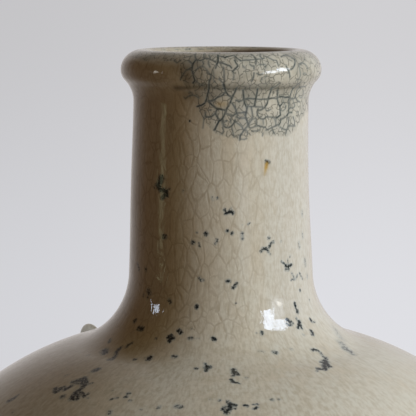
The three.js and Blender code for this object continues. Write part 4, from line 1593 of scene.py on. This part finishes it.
# Colours of the room that the glaze reflects, of the backdrop that the camera sees, and of the floor
ROOM_LEFT = (0.092, 0.057, 0.034, 1.0)
ROOM_RIGHT = (0.22, 0.16, 0.05, 1.0)
ROOM_ABOVE = (0.19, 0.165, 0.05, 1.0)
ROOM_WALL = (0.625, 0.59, 0.575, 1.0)
ROOM_GROUND = (0.55, 0.42, 0.34, 1.0)
BACKDROP = (0.600, 0.595, 0.612, 1.0)
BACKDROP_LOW = (0.705, 0.708, 0.742, 1.0)
FLOOR = (0.70, 0.69, 0.69, 1.0)
FLOOR_LIFT = (0.36, 0.355, 0.365, 1.0)
FLOOR_RADIUS = 0.9
FLOOR_FADE = (0.85, 0.30)

# Tints of the lights
WHITE = (0.91, 1.0, 1.13)
SKY = (0.84, 0.95, 1.12)
ICE = (0.79, 0.93, 1.17)
WARM = (1.0, 0.97, 0.88)
OLIVE = (0.95, 1.0, 0.62)
AMBER = (1.12, 0.93, 0.66)

# Window light: name, bearing and rise in degrees, distance, width, level, tint
DAYLIGHTS = (
    ("window_light", 66, 5, 1.5, 0.45, 0.785, WHITE),
    ("window_edge", 53, 5, 1.5, 0.40, 0.21, AMBER),
    ("upper_light", 110, 65, 1.5, 0.45, 0.23, WHITE),
)

# Reflected panes: name, the piece that shows it, bearing in degrees, distance, place across, low and high
# edge, width, radiance, tint, roll in degrees
WINDOW = 68
DOOR = -81
PANES = (
    ("fillet_left", "shoulder", WINDOW, 1.5, -0.125, 0.86, 1.906, 0.335, 12.0, ICE, -14),
    ("fillet_right", "shoulder", WINDOW, 1.5, 0.342, 1.206, 1.835, 0.445, 9.5, ICE, -16),
    ("fillet_dim", "shoulder", WINDOW, 1.56, 0.140, 0.50, 1.32, 0.46, 2.2, SKY, 0),
    ("fillet_top", "shoulder", WINDOW, 1.46, 0.17, 0.56, 0.68, 0.21, 5.2, WARM, 0),
    ("rim_left", "rim", WINDOW, 1.5, -0.269, 0.27, 0.59, 0.38, 12.0, WHITE, 0),
    ("rim_right", "rim", WINDOW, 1.5, 0.160, 0.48, 0.88, 0.372, 14.0, SKY, 0),
    ("neck_streak_top", "neck", DOOR, 1.2, 0.05, 0.176, 0.2, 0.15, 0.95, OLIVE, 0),
    ("neck_streak_low", "neck", DOOR, 1.2, 0.045, 0.078, 0.176, 0.13, 0.95, OLIVE, -4),
    ("rim_spot", "rim", DOOR, 1.2, 0.06, 0.17, 0.37, 0.12, 3.6, WARM, 0),
    ("neck_sheen", "neck", 31, 1.3, 0.0, 0.02, 0.9, 0.34, 0.7, WHITE, 0),
    ("lug_glow", "shoulder_lug", -60, 1.2, 0.0, 0.2, 0.9, 0.8, 4.2, SKY, 0),
    ("fillet_spot", "shoulder", DOOR, 1.2, -0.06, 0.56, 0.76, 0.125, 9.0, SKY, 0),
)


def floor_material():
    """Pale floor that keeps the shadow and fades into the backdrop further out; only the camera sees it."""
    material, tree = new_material("stage_floor")
    place = node(tree, "ShaderNodeTexCoord").outputs["Object"]
    away = vector_of(tree, "LENGTH", place, output="Value")
    seen = node(tree, "ShaderNodeLightPath").outputs["Is Camera Ray"]
    solid = times(tree, eased(tree, away, *FLOOR_FADE), seen)
    matt = node(tree, "ShaderNodeBsdfDiffuse", {"Color": FLOOR})
    lift = node(tree, "ShaderNodeEmission", {"Color": FLOOR_LIFT, "Strength": 1.0})
    pale = node(tree, "ShaderNodeAddShader", {0: matt.outputs[0], 1: lift.outputs[0]})
    clear = node(tree, "ShaderNodeBsdfTransparent")
    mixed = node(tree, "ShaderNodeMixShader", {0: solid, 1: clear.outputs[0], 2: pale.outputs[0]})
    node(tree, "ShaderNodeOutputMaterial", {"Surface": mixed.outputs[0]})
    return material


def studio_world():
    """Pale wall behind, dim warm room in front and on the left, and the wall's plain tone for the camera."""
    world = bpy.data.worlds.new("studio")
    world.use_nodes = True
    tree = world.node_tree
    tree.nodes.clear()
    way = node(tree, "ShaderNodeTexCoord").outputs["Generated"]
    parts = node(tree, "ShaderNodeSeparateXYZ", {0: way}).outputs
    lift = math_of(tree, "MAXIMUM", parts["Z"], 0.0)
    lean = times_plus(tree, lift, 0.55, 0.15)
    lean = times_plus(tree, parts["X"], lean, parts["Y"])
    lean = times_plus(tree, lift, -0.22, lean)
    wall = eased(tree, lean, 0.10, 1.0)
    right = eased(tree, parts["X"], -0.2, 1.0)
    above = times(tree, parts["X"], 0.6)
    above = eased(tree, times_plus(tree, parts["Z"], 0.8, above), 0.5, 1.2)
    room = blend(tree, right, ROOM_LEFT, ROOM_RIGHT)
    room = blend(tree, above, room, ROOM_ABOVE)
    room = blend(tree, wall, room, ROOM_WALL)
    room = blend(tree, eased(tree, parts["Z"], -0.72, -0.92), room, ROOM_GROUND)
    tone = blend(tree, eased(tree, parts["Z"], 0.0, -0.19), BACKDROP, BACKDROP_LOW)
    tone = scaled(tree, tone, eased(tree, parts["X"], -0.16, 0.09, 0.915, 1.045))
    seen = node(tree, "ShaderNodeLightPath").outputs["Is Camera Ray"]
    light = blend(tree, seen, room, tone)
    glow = node(tree, "ShaderNodeBackground", {"Color": light, "Strength": 1.0})
    node(tree, "ShaderNodeOutputWorld", {"Surface": glow.outputs[0]})
    return world


def area_lamp(name, place, out, roll, shape, width, energy, tint):
    """An area lamp that the camera doesn't see, facing back along a direction out of the vessel."""
    bpy.ops.object.light_add(type="AREA", location=place)
    lamp = bpy.context.object
    lamp.name = name
    lamp.rotation_euler = ((-out).to_track_quat("-Z", "Y") @ Quaternion((0, 0, 1), roll)).to_euler()
    lamp.data.shape = shape
    lamp.data.size = width
    lamp.data.energy = energy
    lamp.data.color = tint
    lamp.visible_camera = False
    return lamp


def daylight(name, bearing, rise, distance, width, level, tint):
    """A round lamp for soft window light, without its reflection: bearing from the front to the right."""
    bearing = math.radians(bearing)
    rise = math.radians(rise)
    flat = Vector((math.sin(bearing), -math.cos(bearing), 0.0)) * math.cos(rise)
    out = flat + Vector((0.0, 0.0, math.sin(rise)))
    target = Vector((0.0, 0.0, (NECK_LOW.z + NECK_HIGH.z) / 2))
    energy = level * (math.pi * distance) ** 2
    lamp = area_lamp(name, target + out * distance, out, 0.0, "DISK", width, energy, tint)
    lamp.visible_glossy = False


def pane(name, piece, bearing, distance, across, low, high, width, radiance, tint, roll):
    """An upright pane that only shows as a reflection on one piece: bearing from the front to the right."""
    bearing = math.radians(bearing)
    out = Vector((math.sin(bearing), -math.cos(bearing), 0.0))
    aside = Vector((math.cos(bearing), math.sin(bearing), 0.0))
    place = out * distance + aside * across
    place.z = (low + high) / 2
    energy = radiance * math.pi * width * (high - low)
    lamp = area_lamp(name, place, out, math.radians(roll), "RECTANGLE", width, energy, tint)
    lamp.data.size_y = high - low
    lamp.visible_diffuse = False
    shown = bpy.data.collections.get("lit_" + piece) or bpy.data.collections.new("lit_" + piece)
    if not shown.objects:
        shown.objects.link(bpy.data.objects["bottle_" + piece])
    lamp.light_linking.receiver_collection = shown


class BOTTLE_OT_stage(bpy.types.Operator):
    """Set up the camera, the pale stage and its window light"""

    bl_idname = "bottle.stage"
    bl_label = "Stage"

    def execute(self, context):
        scene = context.scene
        bpy.ops.object.select_all(action="DESELECT")
        bpy.ops.object.camera_add(location=camera_place(), rotation=camera_turn())
        camera = context.object
        camera.data.sensor_width = SENSOR
        camera.data.lens = FOCAL_PIXELS / PHOTO_WIDTH * SENSOR
        camera.data.clip_start = 0.01
        scene.camera = camera
        scene.view_settings.view_transform = "Standard"
        scene.world = studio_world()

        bpy.ops.mesh.primitive_circle_add(vertices=96, radius=FLOOR_RADIUS, fill_type="NGON")
        floor = start_piece("stage_floor")
        floor.data.materials.append(floor_material())

        for row in DAYLIGHTS:
            daylight(*row)
        for row in PANES:
            pane(*row)
        bpy.data.objects["lug_glow"].visible_diffuse = True
        return {"FINISHED"}


class BOTTLE_PT_sections(bpy.types.Panel):
    """Sections of the bottle, in the order that they are made"""

    bl_label = "Bottle vase"
    bl_idname = "BOTTLE_PT_sections"
    bl_space_type = "VIEW_3D"
    bl_region_type = "UI"
    bl_category = "Bottle"

    def draw(self, context):
        layout = self.layout
        for maker in MAKERS:
            layout.operator(maker.bl_idname)
        for group in (context.scene.bottle_sizes, context.scene.bottle_colours):
            box = layout.box()
            for name in group.__annotations__:
                box.prop(group, name)


MAKERS = (
    BOTTLE_OT_foot_ring,
    BOTTLE_OT_lower_body,
    BOTTLE_OT_shoulder,
    BOTTLE_OT_neck,
    BOTTLE_OT_rim,
    BOTTLE_OT_shoulder_lug,
    BOTTLE_OT_firing,
    BOTTLE_OT_stage,
)
CLASSES = (BottleSizes, GlazeColours) + MAKERS + (BOTTLE_PT_sections,)


def register():
    """Registers the classes and hangs the settings on the scene."""
    for item in CLASSES:
        bpy.utils.register_class(item)
    bpy.types.Scene.bottle_sizes = bpy.props.PointerProperty(type=BottleSizes)
    bpy.types.Scene.bottle_colours = bpy.props.PointerProperty(type=GlazeColours)


def unregister():
    """Takes the settings and the classes away again."""
    del bpy.types.Scene.bottle_colours
    del bpy.types.Scene.bottle_sizes
    for item in reversed(CLASSES):
        bpy.utils.unregister_class(item)


def main():
    """Makes the bottle section by section, then its stage."""
    register()
    bpy.ops.bottle.foot_ring()
    bpy.ops.bottle.lower_body()
    bpy.ops.bottle.shoulder()
    bpy.ops.bottle.neck()
    bpy.ops.bottle.rim()
    bpy.ops.bottle.shoulder_lug()
    bpy.ops.bottle.firing()
    bpy.ops.bottle.stage()


if __name__ == "__main__":
    main()
